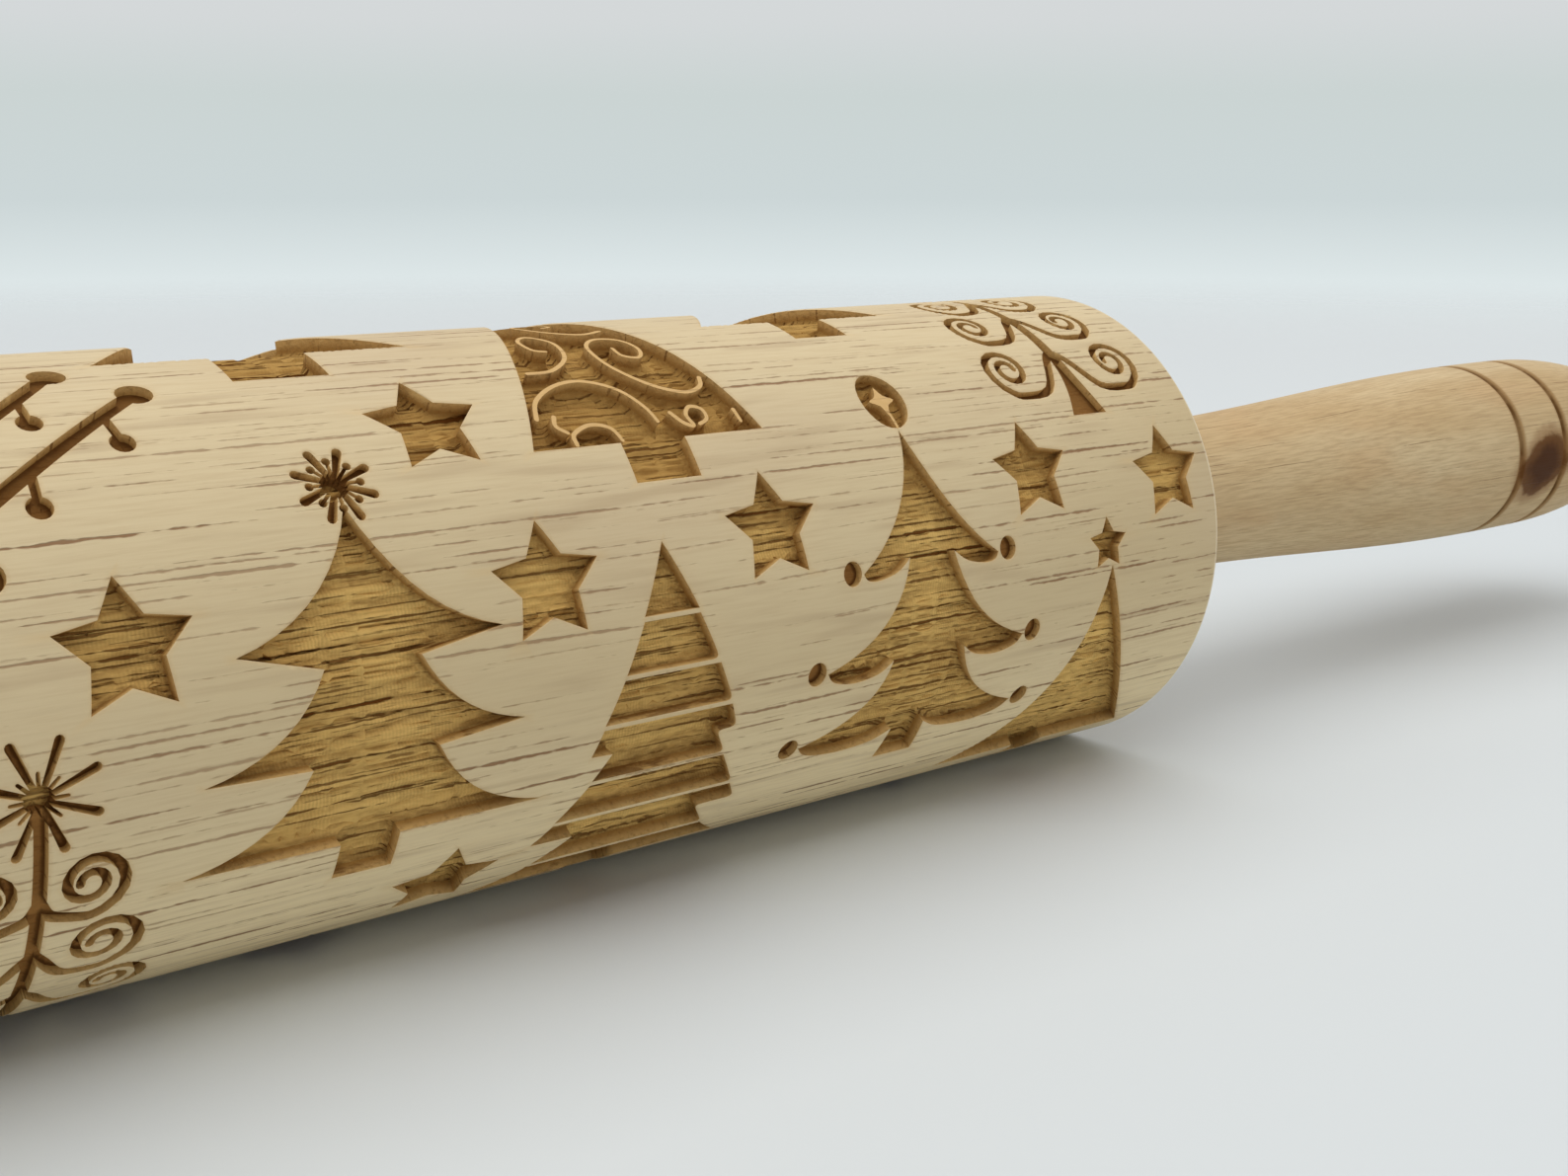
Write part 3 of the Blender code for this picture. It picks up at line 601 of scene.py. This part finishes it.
def newPiece(name, mesh, body, finishes, replaces):
    piece = bpy.data.objects.new(name, mesh)
    bpy.context.collection.objects.link(piece)
    for finish in finishes:
        piece.data.materials.append(finish)
    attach(piece, body)
    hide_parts(replaces)


def rollerMesh():
    spots, triangles, sunk, low, around = unrolledSheet()
    # the two edges of the sheet meet, so their points become one
    same = np.arange(len(spots))
    lowEdge, highEdge = (sorted(np.flatnonzero(abs(spots[:, 1] - y) < touching), key=lambda n: spots[n, 0])
                         for y in (low, low + around))
    for a, b in zip(lowEdge, highEdge):
        same[b] = a
    print("sheet of", len(triangles), "triangles, seam of", len(lowEdge), "and", len(highEdge), "points")
    triangles = same[triangles]

    level = {}
    for (a, b, c), depth in zip(triangles, sunk):
        for pair in ((a, b), (b, c), (c, a)):
            level[pair] = depth
    walls = [(a, b) for (a, b), depth in level.items() if depth > 0 and level.get((b, a), 0) <= 0]

    # how far each point is from the nearest wall, also over the seam
    marks = []
    for a, b in walls:
        reach = spots[b] - spots[a]
        if abs(reach[1]) > around / 2:
            continue
        count = max(math.ceil(np.hypot(*reach) / roller["markStep"]), 1)
        marks += [spots[a] + reach * n / count for n in range(count)]
    tree = kdtree.KDTree(len(marks))
    for n, mark in enumerate(marks):
        tree.insert((*mark, 0), n)
    tree.balance()
    away = np.array([tree.find((*spot, 0))[2] for spot in spots])

    deepest = np.zeros(len(spots))
    np.maximum.at(deepest, triangles.ravel(), np.repeat(sunk, 3))
    foot = roller["footShare"]
    inTheOpen = np.clip(away / roller["footReach"], 0, 1)
    depth = deepest * (foot + (1 - foot) * inTheOpen ** roller["footCurve"])
    drop = roller["rimDrop"] * np.clip(1 - away / roller["rimReach"], 0, 1)
    drop[triangles[sunk < 0].ravel()] = roller["ridgeDrop"]
    gaps = inTheOpen * [fibreGap(*spot) if deep > roller["lineDepth"] else 0
                        for spot, deep in zip(spots, deepest)]
    gaps[[b for a, b in zip(lowEdge, highEdge)]] = gaps[lowEdge]
    depth += roller["fibreRelief"] * gaps

    corners, burn, gap, index = [], [], [], {}

    def corner(n, down):
        if (n, down) not in index:
            index[(n, down)] = len(corners)
            reach = roller["radius"] - (depth[n] if down else drop[n])
            corners.append(onCircle(spots[n, 0], spots[n, 1] / roller["radius"], reach))
            burn.append(max(1 - away[n] / roller["burnReach"], 0))
            gap.append(gaps[n] if down else 0)
        return index[(n, down)]

    faces, finish = [], []
    slots = {0: topSlot, roller["depth"]: floorSlot, roller["lineDepth"]: grooveSlot, ridgeMark: ridgeSlot}
    for triangle, depthHere in zip(triangles, sunk):
        faces.append([corner(n, depthHere > 0) for n in triangle])
        finish.append(slots[depthHere])
    topLoops = 3 * len(faces)
    for a, b in walls:
        faces.append([corner(b, True), corner(a, True), corner(a, False), corner(b, False)])
        finish.append(wallSlot)

    # rounded edge, end face, stepped sockets for the bushes and the bore
    edge, end = roller["roundedEdge"], roller["length"] / 2
    rings = [(end - edge + edge * math.sin(t), roller["radius"] - edge + edge * math.cos(t), topSlot)
             for t in (math.pi / 8, math.pi / 4, math.pi * 3 / 8, math.pi / 2)]
    (flange, flangeDeep), (seat, seatDeep) = roller["flangeSeat"], roller["bushSeat"]
    seatEdge = roller["seatEdge"]
    rings += [(x, radius, endSlot) for x, radius in (
        (end, roller["faceRing"]), (end, flange + seatEdge), (end - seatEdge, flange),
        (end - flangeDeep, flange), (end - flangeDeep, seat), (end - seatDeep, seat),
        (end - seatDeep, roller["bore"]))]
    profile = [(-x, radius, slot) for x, radius, slot in rings] + rings[::-1]
    turns = [math.radians(roller["seam"] + 360 / roller["sides"] * n) for n in range(roller["sides"])]
    halfFlat = end - edge

    def rim(x):
        row = [n for n in range(len(spots)) if same[n] == n and abs(spots[n, 0] - x) < touching]
        return [corner(n, False) for n in sorted(row, key=lambda n: spots[n, 1])]

    def band(before, now, slot):
        for n in range(len(turns)):
            after = (n + 1) % len(turns)
            faces.append([before[n], before[after], now[after], now[n]])
            finish.append(slot)

    before, slotBefore = rim(-halfFlat), topSlot
    for x, radius, slot in profile:
        now = list(range(len(corners), len(corners) + len(turns)))
        corners += [onCircle(x, turn, radius) for turn in turns]
        burn += [0] * len(turns)
        gap += [0] * len(turns)
        band(before, now, max(slot, slotBefore))
        before, slotBefore = now, slot
    band(before, rim(halfFlat), topSlot)

    made = meshFrom("engraved_roller", corners, faces)
    made.polygons.foreach_set("material_index", finish)
    for name, values in (("burn", burn), ("gap", gap)):
        made.attributes.new(name, "FLOAT", "POINT").data.foreach_set("value", values)
    shaded(made, roller["sharpAngle"])
    # the uncut surface is shaded as a true cylinder, but for the rim of a wall
    places = np.array(corners)
    outward = places * (0, 1, 1) - (0, 0, axisHeight)
    outward /= np.maximum(np.linalg.norm(outward, axis=1), 1e-6)[:, None]
    normals = np.zeros((len(made.loops), 3))
    loopCorners = np.zeros(len(made.loops), int)
    made.loops.foreach_get("vertex_index", loopCorners)
    uncut = np.repeat(sunk == 0, 3) & (np.array(burn)[loopCorners[:topLoops]] < 0.9)
    normals[:topLoops][uncut] = outward[loopCorners[:topLoops][uncut]]
    made.normals_split_custom_set(normals)
    return made


def rollerTopFinish():
    made = Finish("pale roller wood", roller)
    flecks = made.lines("bold", ("long", 0.7), ("short", 0.8))  # thin vessel lines in the wood
    fibres = made.grain(0.05, 3600, 3.0, 0.6)
    made.base(made.patches(0.4, 34, 0.3, 0.75, 0.0, 0.0), "cream", "creamDark")
    made.layer(made.patches(0.5, 70, 0.45, 0.8, 5.0, 0.0), "blush", 0.5)
    # painted light: the lower side of the roller is painted paler, for the light thrown up from the table
    made.layer(made.spread(made.z, *roller["bounceLightBelow"], 1.0, 0.0), "paintedBounceLight")
    made.layer(made.spread(fibres, 0.35, 0.8, 0.0, 0.3), "fibre")
    made.layer(made.patches(0.08, 760, 0.54, 0.78, 3.0, 1.0), "smudge", 0.5)
    made.layer(flecks, "fleck", 0.9)
    made.layer(made.attribute("burn"), "scorch", 0.4)
    # painted highlight: the rounded ends are painted pale, for the light that their curve catches
    made.layer(made.spread(made.calc("ABSOLUTE", made.x), *roller["highlightedEnds"], 0.0, 0.8), "edge")
    made.bump(made.minus(made.times(fibres, 0.3), flecks), 0.00006)
    return made.done(made.spread(fibres, 0.2, 0.8, 0.52, 0.68), 0.25)


def floorStreaks(finish):
    # dark lines between the fibres that the engraving laid bare
    return finish.lines("wideStreak", ("fineStreak", 0.85))


def engravedFloorFinish():
    made = Finish("engraved floor", roller)
    streaks = floorStreaks(made)
    raster = made.calc("SINE", made.times(made.x, 2 * math.pi / roller["rasterPitch"]))
    weave = made.times(raster, made.patches(1, 160, 0.35, 0.6, 4.4))
    soot = made.grain(0.3, 2600, 3.0, 0.65)
    ridges = made.grain(0.05, 1500)
    made.base(made.patches(0.3, 110, 0.3, 0.7, 6.1), "floor", "floorDark")
    made.layer(made.spread(weave, -1, 1, 0.0, 0.16), "corner")
    made.layer(made.spread(ridges, 0.55, 0.4, 0.0, 0.45), "floorDark")
    made.layer(made.spread(soot, 0.4, 0.75, 0.0, 0.28), "wallFoot")
    made.layer(made.times(made.attribute("gap"), made.spread(soot, 0.2, 0.7, 0.1, 0.5)), "corner")
    made.layer(made.times(made.attribute("burn"), made.spread(soot, 0.25, 0.6, 0.35, 0.75)), "corner")
    # painted shade: the floors of the figures on top are painted a little darker than those on the front, for
    # how the light falls on them
    made.layer(made.spread(made.z, *roller["floorShadedAbove"], 0.0, 0.65), "wallFoot")
    made.layer(streaks, "streak")
    height = made.timesPlus(weave, 0.03, made.timesPlus(soot, 0.25, ridges))
    made.bump(made.minus(height, made.times(streaks, 0.7)), 0.00026)
    return made.done(0.85, 0.06)


def engravedWallFinish():
    # a wall is darker towards its foot
    made = Finish("burnt wall", roller)
    up = made.aboveAxis()
    radius = made.calc("SQRT", made.calc("ADD", made.times(made.y, made.y), made.times(up, up)))
    foot, rim = roller["radius"] - roller["lineDepth"], roller["radius"] - roller["rimDrop"]
    soot = made.noise(made.place, 1900, 3.0, 0.7)
    made.base(made.spread(radius, foot * mm, rim * mm, 1.0, 0.0), "wallTop", "wallFoot")
    made.layer(made.spread(soot, 0.45, 0.75, 0.0, 0.4), "corner")
    made.layer(made.dashes("wallStreak"), "streak", 0.7)
    made.bump(soot, 0.00015)
    return made.done(0.85, 0.08)


def grooveFinish():
    # thin lines are burnt darker at their sides than along the middle
    made = Finish("burnt groove", roller)
    soot = made.grain(0.5, 1700, 3.0, 0.65)
    burn = made.timesPlus(soot, 0.7, made.attribute("burn"))
    made.base(made.spread(burn, 0.45, 1.15), "groove", "grooveSide")
    # painted shade: the grooves on top are painted darker than those on the front
    made.layer(made.spread(made.z, *roller["grooveShadedAbove"], 0.0, 0.7), "grooveSide")
    made.layer(floorStreaks(made), "streak", 0.35)
    made.bump(soot, 0.0002)
    return made.done(0.85, 0.06)


def ridgeTopFinish():
    made = Finish("thin ridge top", roller)
    soot = made.noise(made.place, 1500, 3.0, 0.7)
    made.base(made.spread(soot, 0.4, 0.75, 0.0, 0.6), "ridgeTop", "wallTop")
    made.layer(made.dashes("ridgeStreak"), "streak", 0.4)
    made.bump(soot, 0.00008)
    return made.done(0.75, 0.1)


def endGrainFinish():
    made = Finish("end grain", roller)
    rings = made.growthRings(roller["logMiddle"], roller["ringWidth"], roller["ringWander"])
    pores = made.spread(made.grain(0.3, 3800, 1.0), 0.56, 0.66)
    made.base(made.spread(rings, 0.1, 1.0, 0.0, 0.7), "endGrain", "endRing")
    made.layer(pores, "fleck", 0.5)
    made.bump(made.minus(made.times(rings, 0.2), pores), 0.00005)
    return made.done(0.7, 0.25)


rollerFinishes = (  # in the order of the slots above
    rollerTopFinish(), engravedFloorFinish(), engravedWallFinish(), endGrainFinish(), ridgeTopFinish(),
    grooveFinish())
newPiece("engraved_roller", rollerMesh(), "roller", rollerFinishes, "roller_barrel")
print("roller done")


# Turned pieces: a profile holds (x, radius) in millimetres and goes round the axis.
def turnedMesh(name, profile, segments, closed=True):
    # closed joins the profile's last point to its first, as for a ring
    corners, rows = [], []
    for x, radius in profile:
        count = 1 if radius == 0 else segments
        rows.append([len(corners) + n for n in range(count)])
        corners += [onCircle(x, 2 * math.pi * n / segments, radius) for n in range(count)]
    pairs = list(zip(rows, rows[1:] + rows[:1])) if closed else list(zip(rows, rows[1:]))
    faces = []
    for near, far in pairs:
        for n in range(segments):
            after = (n + 1) % segments
            face = [near[n % len(near)], near[after % len(near)], far[after % len(far)], far[n % len(far)]]
            faces.append(list(dict.fromkeys(face)))
    made = meshFrom(name, corners, faces)
    outwards = sum((b[0] - a[0]) * (a[1] + b[1]) for a, b in zip(profile, profile[1:] + profile[:1]))
    if outwards < 0:
        made.flip_normals()
    return shaded(made, 32)


def rounded(profile, size, steps=3):
    # every corner of a closed profile becomes a small arc
    made = []
    for n, (x, y) in enumerate(profile):
        (ax, ay), (bx, by) = profile[n - 1], profile[(n + 1) % len(profile)]
        toA, toB = math.hypot(ax - x, ay - y), math.hypot(bx - x, by - y)
        cut = min(size, toA * 0.45, toB * 0.45)
        start = (x + (ax - x) * cut / toA, y + (ay - y) * cut / toA)
        end = (x + (bx - x) * cut / toB, y + (by - y) * cut / toB)
        made += bentLine(start, (x, y), end, steps)
    return made


handle = {
    "start": 126.6, "length": 120.4, "neck": 8.8, "grip": 12.0, "swell": 93.4, "endRadius": 7.3,
    "edge": 0.7, "endBend": 0.2, "station": 1.6, "rings": (81.0, 92.2), "ringHalf": 0.8, "ringDepth": 0.4,
    "axleHole": (4.3, 30.3), "threadHole": 2.8, "pocket": (5.4, 20),  # radius and how deep
    "holeEdge": 0.3, "pocketEdge": 0.2,
    # the right handle's knot: its middle and half its size, in metres along and degrees round, and its lean
    "knotAlong": (0.2136, 0.0068), "knotAround": (-6, 25), "knotLean": -0.2,
    "ringGlow": (0.0005, 0.0014), "ringCore": (0.0003, 0.0008),  # metres to each side of a burnt ring
    "colours": {
        "tan": (214, 191, 150), "tanDark": (200, 172, 128), "blush": (203, 170, 126),
        "fleck": (150, 118, 84), "ring": (96, 64, 28), "ringEdge": (160, 122, 74),
        "knot": (100, 62, 26), "knotCore": (70, 38, 12), "knotHalo": (136, 96, 56),
    },
    "dashes": {"fleck": (1.8, 14, 0.3, 0.42, 5, 0.8)},
}


def handleRadius(along):
    if along <= handle["swell"]:
        s = along / handle["swell"]
        return handle["neck"] + (handle["grip"] - handle["neck"]) * s ** 3 * (10 - 15 * s + 6 * s * s)
    share = (along - handle["swell"]) / (handle["length"] - handle["swell"])
    end = (handle["endRadius"] / handle["grip"]) ** 2
    return handle["grip"] * math.sqrt(1 - share * share * (1 - end))


def handleProfile():
    start, length, edge, half = handle["start"], handle["length"], handle["edge"], handle["ringHalf"]
    stations = set(np.arange(2, length - edge - 0.5, handle["station"]).round(3))
    for ring in handle["rings"]:
        stations = {along for along in stations if abs(along - ring) > half}
        stations |= {ring + half * n / 5 for n in range(-5, 6)}
    outer = []
    for along in sorted(stations):
        dip = sum(handle["ringDepth"] * max(math.cos((along - ring) / half * math.pi / 2), 0)
                  for ring in handle["rings"] if abs(along - ring) <= half)
        outer.append((start + along, handleRadius(along) - dip))
    neck, last, end = handle["neck"], handleRadius(length - edge), start + length
    front = bentLine((start, neck - edge), (start, neck), (start + edge, neck), 4)
    tail = bentLine((start + length - edge, last), (end, last - handle["endBend"]), (end, last - edge), 4)
    (pocket, pocketDeep), (hole, holeDeep) = handle["pocket"], handle["axleHole"]
    pocketEdge, holeEdge, thread = handle["pocketEdge"], handle["holeEdge"], handle["threadHole"]
    inside = [(end, pocket + pocketEdge), (end - pocketEdge, pocket), (end - pocketDeep, pocket),
              (end - pocketDeep, thread), (start + holeDeep, thread), (start + holeDeep, hole),
              (start + holeEdge, hole), (start, hole + holeEdge)]
    return front + outer + tail + inside


def handleFinish():
    made = Finish("tan handle wood", handle)
    fibres = made.grain(0.04, 4200, 3.0, 0.6)
    flecks = made.times(made.dashes("fleck"), 0.8)
    made.base(made.patches(0.18, 110, 0.32, 0.7, 1.0), "tan", "tanDark")
    made.layer(made.patches(0.4, 150, 0.48, 0.72, 9.0), "blush", 0.55)
    made.layer(made.spread(fibres, 0.32, 0.75, 0.0, 0.42), "fleck")
    made.layer(flecks, "fleck", 0.9)

    # two rings burnt into the grooves, uneven round the handle
    soot = made.noise(made.place, 420)
    reach = made.calc("ABSOLUTE", made.x)
    for ring in handle["rings"]:
        off = made.calc("ABSOLUTE", made.minus(reach, (handle["start"] + ring) * mm))
        made.layer(made.spread(off, *handle["ringGlow"], 0.75, 0.0), "ringEdge")
        core = made.spread(off, *handle["ringCore"], 1.0, 0.0)
        made.layer(made.times(core, made.spread(soot, 0.3, 0.6, 0.6, 1.0)), "ring")

    # the knot, on the front near the end
    (place, length), (turn, width) = handle["knotAlong"], handle["knotAround"]
    along = made.calc("DIVIDE", made.minus(made.x, place), length)
    around = made.calc("DIVIDE", made.minus(made.turned(), math.radians(turn)), math.radians(width))
    leaning = made.calc("ABSOLUTE", made.timesPlus(around, handle["knotLean"], along))
    sizes = [made.calc("POWER", far, 1.5) for far in (leaning, made.calc("ABSOLUTE", around))]
    rough = made.timesPlus(made.noise(made.place, 460, 3.0, 0.6), 0.5, -0.25)
    ragged = made.calc("ADD", made.calc("ADD", *sizes), rough)
    made.layer(made.spread(ragged, 0.85, 1.5, 0.6, 0.0), "knotHalo")
    made.layer(made.spread(ragged, 0.72, 0.95, 0.95, 0.0), "knot")
    made.layer(made.spread(ragged, 0.2, 0.7, 0.9, 0.0), "knotCore")
    made.bump(made.minus(made.times(fibres, 0.4), flecks), 0.00005)
    return made.done(made.spread(fibres, 0.2, 0.8, 0.5, 0.65), 0.08)


plug = {
    "start": 240, "end": 247, "radius": 5.1, "startEdge": 0.4,
    "domeBend": (0.85, 0.25), "standsOut": 1.0, "face": 3.6,
    "colours": {"wood": (186, 152, 108), "ring": (152, 116, 74), "pore": (120, 88, 54)},
    "logMiddle": (0, 0.006, -0.019), "ringWidth": 0.0011,
}


def plugProfile():
    start, end, radius, edge = plug["start"], plug["end"], plug["radius"], plug["startEdge"]
    (bend, drop), front = plug["domeBend"], end + plug["standsOut"]
    dome = bentLine((end, radius), (end + bend, radius - drop), (front, plug["face"]), 6)
    return [(start, 0), (start, radius - edge), (start + edge, radius)] + dome + [(front, 0)]


def plugFinish():
    made = Finish("plug end grain", plug)
    rings = made.growthRings(plug["logMiddle"], plug["ringWidth"])
    pores = made.spread(made.grain(0.3, 4600, 1.0), 0.55, 0.66)
    made.base(made.spread(rings, 0.0, 1.0, 0.0, 0.6), "wood", "ring")
    made.layer(pores, "pore", 0.5)
    made.bump(made.minus(made.times(rings, 0.2), pores), 0.00004)
    return made.done(0.55, 0.3)


bush = {
    "inner": 109, "end": 125, "bore": 4.3, "radius": 7, "leadIn": (0.8, 0.6), "edge": 0.35,
    "flange": 8.8, "flangeThick": 1.6,
    "colours": {"white": (236, 233, 224), "shade": (222, 217, 204)},
}
thrustWasher = {"start": 125.3, "thick": 1.0, "radius": 7.8, "hole": 4.3, "edge": 0.2}
nutWasher = {"start": 227.3, "thick": 1.0, "radius": 4.9, "hole": 2.8, "edge": 0.15}


def bushProfile():
    inner, end, radius, bore = bush["inner"], bush["end"], bush["radius"], bush["bore"]
    (long, deep), under = bush["leadIn"], end - bush["flangeThick"]
    return rounded([(inner, bore), (inner, radius - deep), (inner + long, radius), (under, radius),
                    (under, bush["flange"]), (end, bush["flange"]), (end, bore)], bush["edge"])


def washerProfile(washer):
    near, far = washer["start"], washer["start"] + washer["thick"]
    hole, radius = washer["hole"], washer["radius"]
    return rounded([(near, hole), (near, radius), (far, radius), (far, hole)], washer["edge"])


def nylonFinish():
    made = Finish("white nylon", bush)
    cloud = made.noise(made.place, 260, 3.0)
    turned = made.noise(made.stretched(1, 0.1), 9000, 1.0)
    made.base(made.spread(cloud, 0.3, 0.7), "white", "shade")
    made.bump(turned, 0.00002)
    return made.done(made.spread(cloud, 0.3, 0.7, 0.34, 0.46), Subsurface_Weight=0.08, Subsurface_Scale=0.002)


def steelFinish(name, metal):
    made = Finish(name, metal)
    lines = made.noise(made.stretched(1, 0.06), 7000, 2.0, 0.6)
    smear = made.noise(made.place, 330, 3.0, 0.6)
    made.base(made.spread(smear, 0.35, 0.7), "light", "dark")
    made.bump(lines, 0.000015)
    return made.done(made.spread(smear, 0.3, 0.75, *metal["roughness"]), Metallic=1.0)


axle = {
    "radius": 4, "shoulder": 156.6, "chamfer": 0.3, "thread": 2.5, "root": 2.15, "pitch": 0.8,
    "threadStart": 205, "threadEnd": 1.2, "tip": 235.3, "tipEdge": 0.5,  # the thread ends short of the tip
    "colours": {"light": (200, 201, 203), "dark": (176, 177, 180)}, "roughness": (0.2, 0.36),
}


def axleProfile():
    radius, shoulder, chamfer = axle["radius"], axle["shoulder"], axle["chamfer"]
    thread, tip = axle["thread"], axle["tip"]
    side = [(shoulder - chamfer, radius), (shoulder, radius - chamfer), (shoulder, thread)]
    x = axle["threadStart"]
    while x < tip - axle["threadEnd"]:
        side += [(x, thread), (x + axle["pitch"] / 2, axle["root"])]
        x += axle["pitch"]
    side += [(tip - axle["tipEdge"], thread), (tip, thread - axle["tipEdge"]), (tip, 0)]
    return [(-x, radius) for x, radius in side[::-1]] + side


nut = {
    "start": 228.6, "thick": 4.7, "acrossFlats": 8, "hole": 2.8, "crest": 2.62, "pitch": 0.8, "segments": 72,
    "faceShare": 0.97, "holeEdge": 0.3, "threadEnd": 0.4,  # the face is a little narrower than the flats
    "colours": {"light": (190, 194, 200), "dark": (160, 164, 168)}, "roughness": (0.32, 0.48),
}


def nutMesh(name, way):
    # hexagon with turned-down corners and a threaded hole
    segments, flat, pitch = nut["segments"], nut["acrossFlats"] / 2, nut["pitch"]
    near, far = nut["start"], nut["start"] + nut["thick"]
    narrow, mouth = flat * nut["faceShare"], nut["hole"] + nut["holeEdge"]
    hole = [(far - nut["threadEnd"], nut["hole"])]
    for n in range(int(nut["thick"] / pitch) - 1, 0, -1):
        hole += [(near + n * pitch, nut["crest"]), (near + (n - 0.5) * pitch, nut["hole"])]
    corners = []
    for n in range(segments):
        turn = 2 * math.pi * n / segments
        corner = flat / math.cos((turn + math.pi / 6) % (math.pi / 3) - math.pi / 6)
        lean = (corner - narrow) * 0.5
        ring = [(near, narrow), (near + lean, corner), (far - lean, corner), (far, narrow), (far, mouth)]
        ring += hole + [(near, mouth)]
        corners += [onCircle(way * x, turn, radius) for x, radius in ring]
    high = len(ring)
    faces = []
    for n in range(segments):
        for k in range(high):
            a, b = n * high, ((n + 1) % segments) * high
            face = [a + k, b + k, b + (k + 1) % high, a + (k + 1) % high]
            faces.append(face if way > 0 else face[::-1])
    return shaded(meshFrom(name, corners, faces), 22)


handleWood, plugWood, nylon = handleFinish(), plugFinish(), nylonFinish()
steel, zinc = steelFinish("bright steel", axle), steelFinish("zinc plating", nut)

newPiece("axle", turnedMesh("axle", axleProfile(), 48, False), "handles", [steel], "axle_rod")
turnedPieces = (  # name, profile, segments, body, slot, finish, node
    ("bush", bushProfile(), 64, "roller", "nylon", nylon, "bearing_bush"),
    ("thrust_ring", washerProfile(thrustWasher), 64, "handles", "nylon", nylon, "thrust_washer"),
    ("turned_handle", handleProfile(), 96, "handles", "handle_wood", handleWood, "handle"),
    ("nut_ring", washerProfile(nutWasher), 64, "handles", "zinc", zinc, "nut_washer"),
    ("plug", plugProfile(), 64, "handles", "plug_wood", plugWood, "handle_plug"),
)
for way, side in ((-1, "left"), (1, "right")):
    for name, profile, segments, body, slot, finish, node in turnedPieces:
        outline = [(way * x, radius) for x, radius in profile]
        mesh = turnedMesh(name + "_" + side, outline, segments, name != "plug")
        newPiece(name + "_" + side, mesh, body, [finish], node + "_" + side)
    nutName = "hexagon_nut_" + side
    newPiece(nutName, nutMesh(nutName, way), "handles", [zinc], "axle_nut_" + side)
print("turned pieces done")


# table, light and camera, in metres
stage = {
    "floorRadius": 1.6, "fadeStart": 0.5, "fadeEnd": 1.15, "floor": (216, 221, 223),
    # what shows behind, from below to above
    "sky": ((0.0, (222, 228, 230)), (0.40, (229, 233, 235)), (0.448, (222, 231, 232)),
            (0.488, (204, 214, 215)), (0.54, (203, 212, 211)), (0.575, (212, 216, 217)),
            (1.0, (226, 228, 229))),
    "skyLight": (0.97, 0.985, 1.0, 1), "ambient": 0.42,
}
lamps = {
    "overhead softbox": {"place": (0.05, 0.02, 1.3), "target": (0.05, 0.02, 0), "size": (2.4, 2.0),
                         "power": 20.4, "colour": (1.0, 0.99, 0.97)},
    "front card": {"place": (0.50, -1.33, 0.29), "target": (0.08, 0, 0.025), "size": (1.33, 0.56),
                   "power": 0.96, "colour": (1.0, 0.98, 0.96)},
}
camera = {
    "lens": 44.05, "sensor": 36, "clipStart": 0.01,
    "place": (-0.03660, -0.14951, 0.06333), "down": 12.152, "right": 39.379,  # degrees
}


def makeFloor():
    bpy.ops.mesh.primitive_circle_add(vertices=96, radius=stage["floorRadius"], fill_type="NGON",
                                      location=(0, 0, 0))
    floor = bpy.context.object
    floor.name = "table"
    made = Finish("white table")
    reach = made.vector("LENGTH", made.place)["Value"]
    solid = made.spread(reach, stage["fadeStart"], stage["fadeEnd"], 1.0, 0.0)
    made.painted = paint(*stage["floor"])
    made.done(0.5, 0.15)
    clear = made.add("ShaderNodeBsdfTransparent")
    mixed = made.add("ShaderNodeMixShader", [solid, clear.outputs[0], made.shader.outputs[0]])
    output = made.tree.nodes["Material Output"]
    made.tree.links.new(mixed.outputs[0], output.inputs["Surface"])
    floor.data.materials.append(made.material)


def makeWorld():
    world = bpy.data.worlds.new("studio")
    bpy.context.scene.world = world
    world.use_nodes = True
    world.node_tree.nodes.clear()
    made = Nodes(world.node_tree)
    place = made.add("ShaderNodeTexCoord").outputs["Generated"]
    height = made.add("ShaderNodeSeparateXYZ", [place]).outputs["Z"]
    ramp = made.add("ShaderNodeValToRGB", [made.add("ShaderNodeMapRange", [height, -0.5, 0.5]).outputs[0]])
    elements = ramp.color_ramp.elements
    while len(elements) < len(stage["sky"]):
        elements.new(0.5)
    for element, (position, colour) in zip(elements, stage["sky"]):
        element.position = position
        element.color = paint(*colour)
    seen = made.add("ShaderNodeBackground", [ramp.outputs[0]])
    light = made.add("ShaderNodeBackground", [stage["skyLight"], stage["ambient"]])
    path = made.add("ShaderNodeLightPath").outputs
    shown = path["Is Camera Ray"]
    for name in ("Is Glossy Ray", "Is Transmission Ray"):
        shown = made.calc("ADD", shown, path[name], clamp=True)
    mixed = made.add("ShaderNodeMixShader", [shown, light.outputs[0], seen.outputs[0]])
    made.add("ShaderNodeOutputWorld", [mixed.outputs[0]])


def addLamp(name, place, target, size, power, colour):
    lamp = bpy.data.lights.new(name, "AREA")
    lamp.shape = "RECTANGLE"
    lamp.size, lamp.size_y = size
    lamp.energy = power
    lamp.color = colour
    made = bpy.data.objects.new(name, lamp)
    made.location = place
    made.rotation_euler = (Vector(target) - Vector(place)).to_track_quat("-Z", "Y").to_euler()
    bpy.context.collection.objects.link(made)


def addCamera():
    lens = bpy.data.cameras.new("camera")
    lens.lens = camera["lens"]
    lens.sensor_width = camera["sensor"]
    lens.clip_start = camera["clipStart"]
    made = bpy.data.objects.new("camera", lens)
    made.location = camera["place"]
    made.rotation_euler = (math.radians(90 - camera["down"]), 0, math.radians(-camera["right"]))
    bpy.context.collection.objects.link(made)
    bpy.context.scene.camera = made


makeFloor()
makeWorld()
for name, settings in lamps.items():
    addLamp(name, **settings)
addCamera()
bpy.context.scene.view_settings.view_transform = "Standard"
print("stage done")
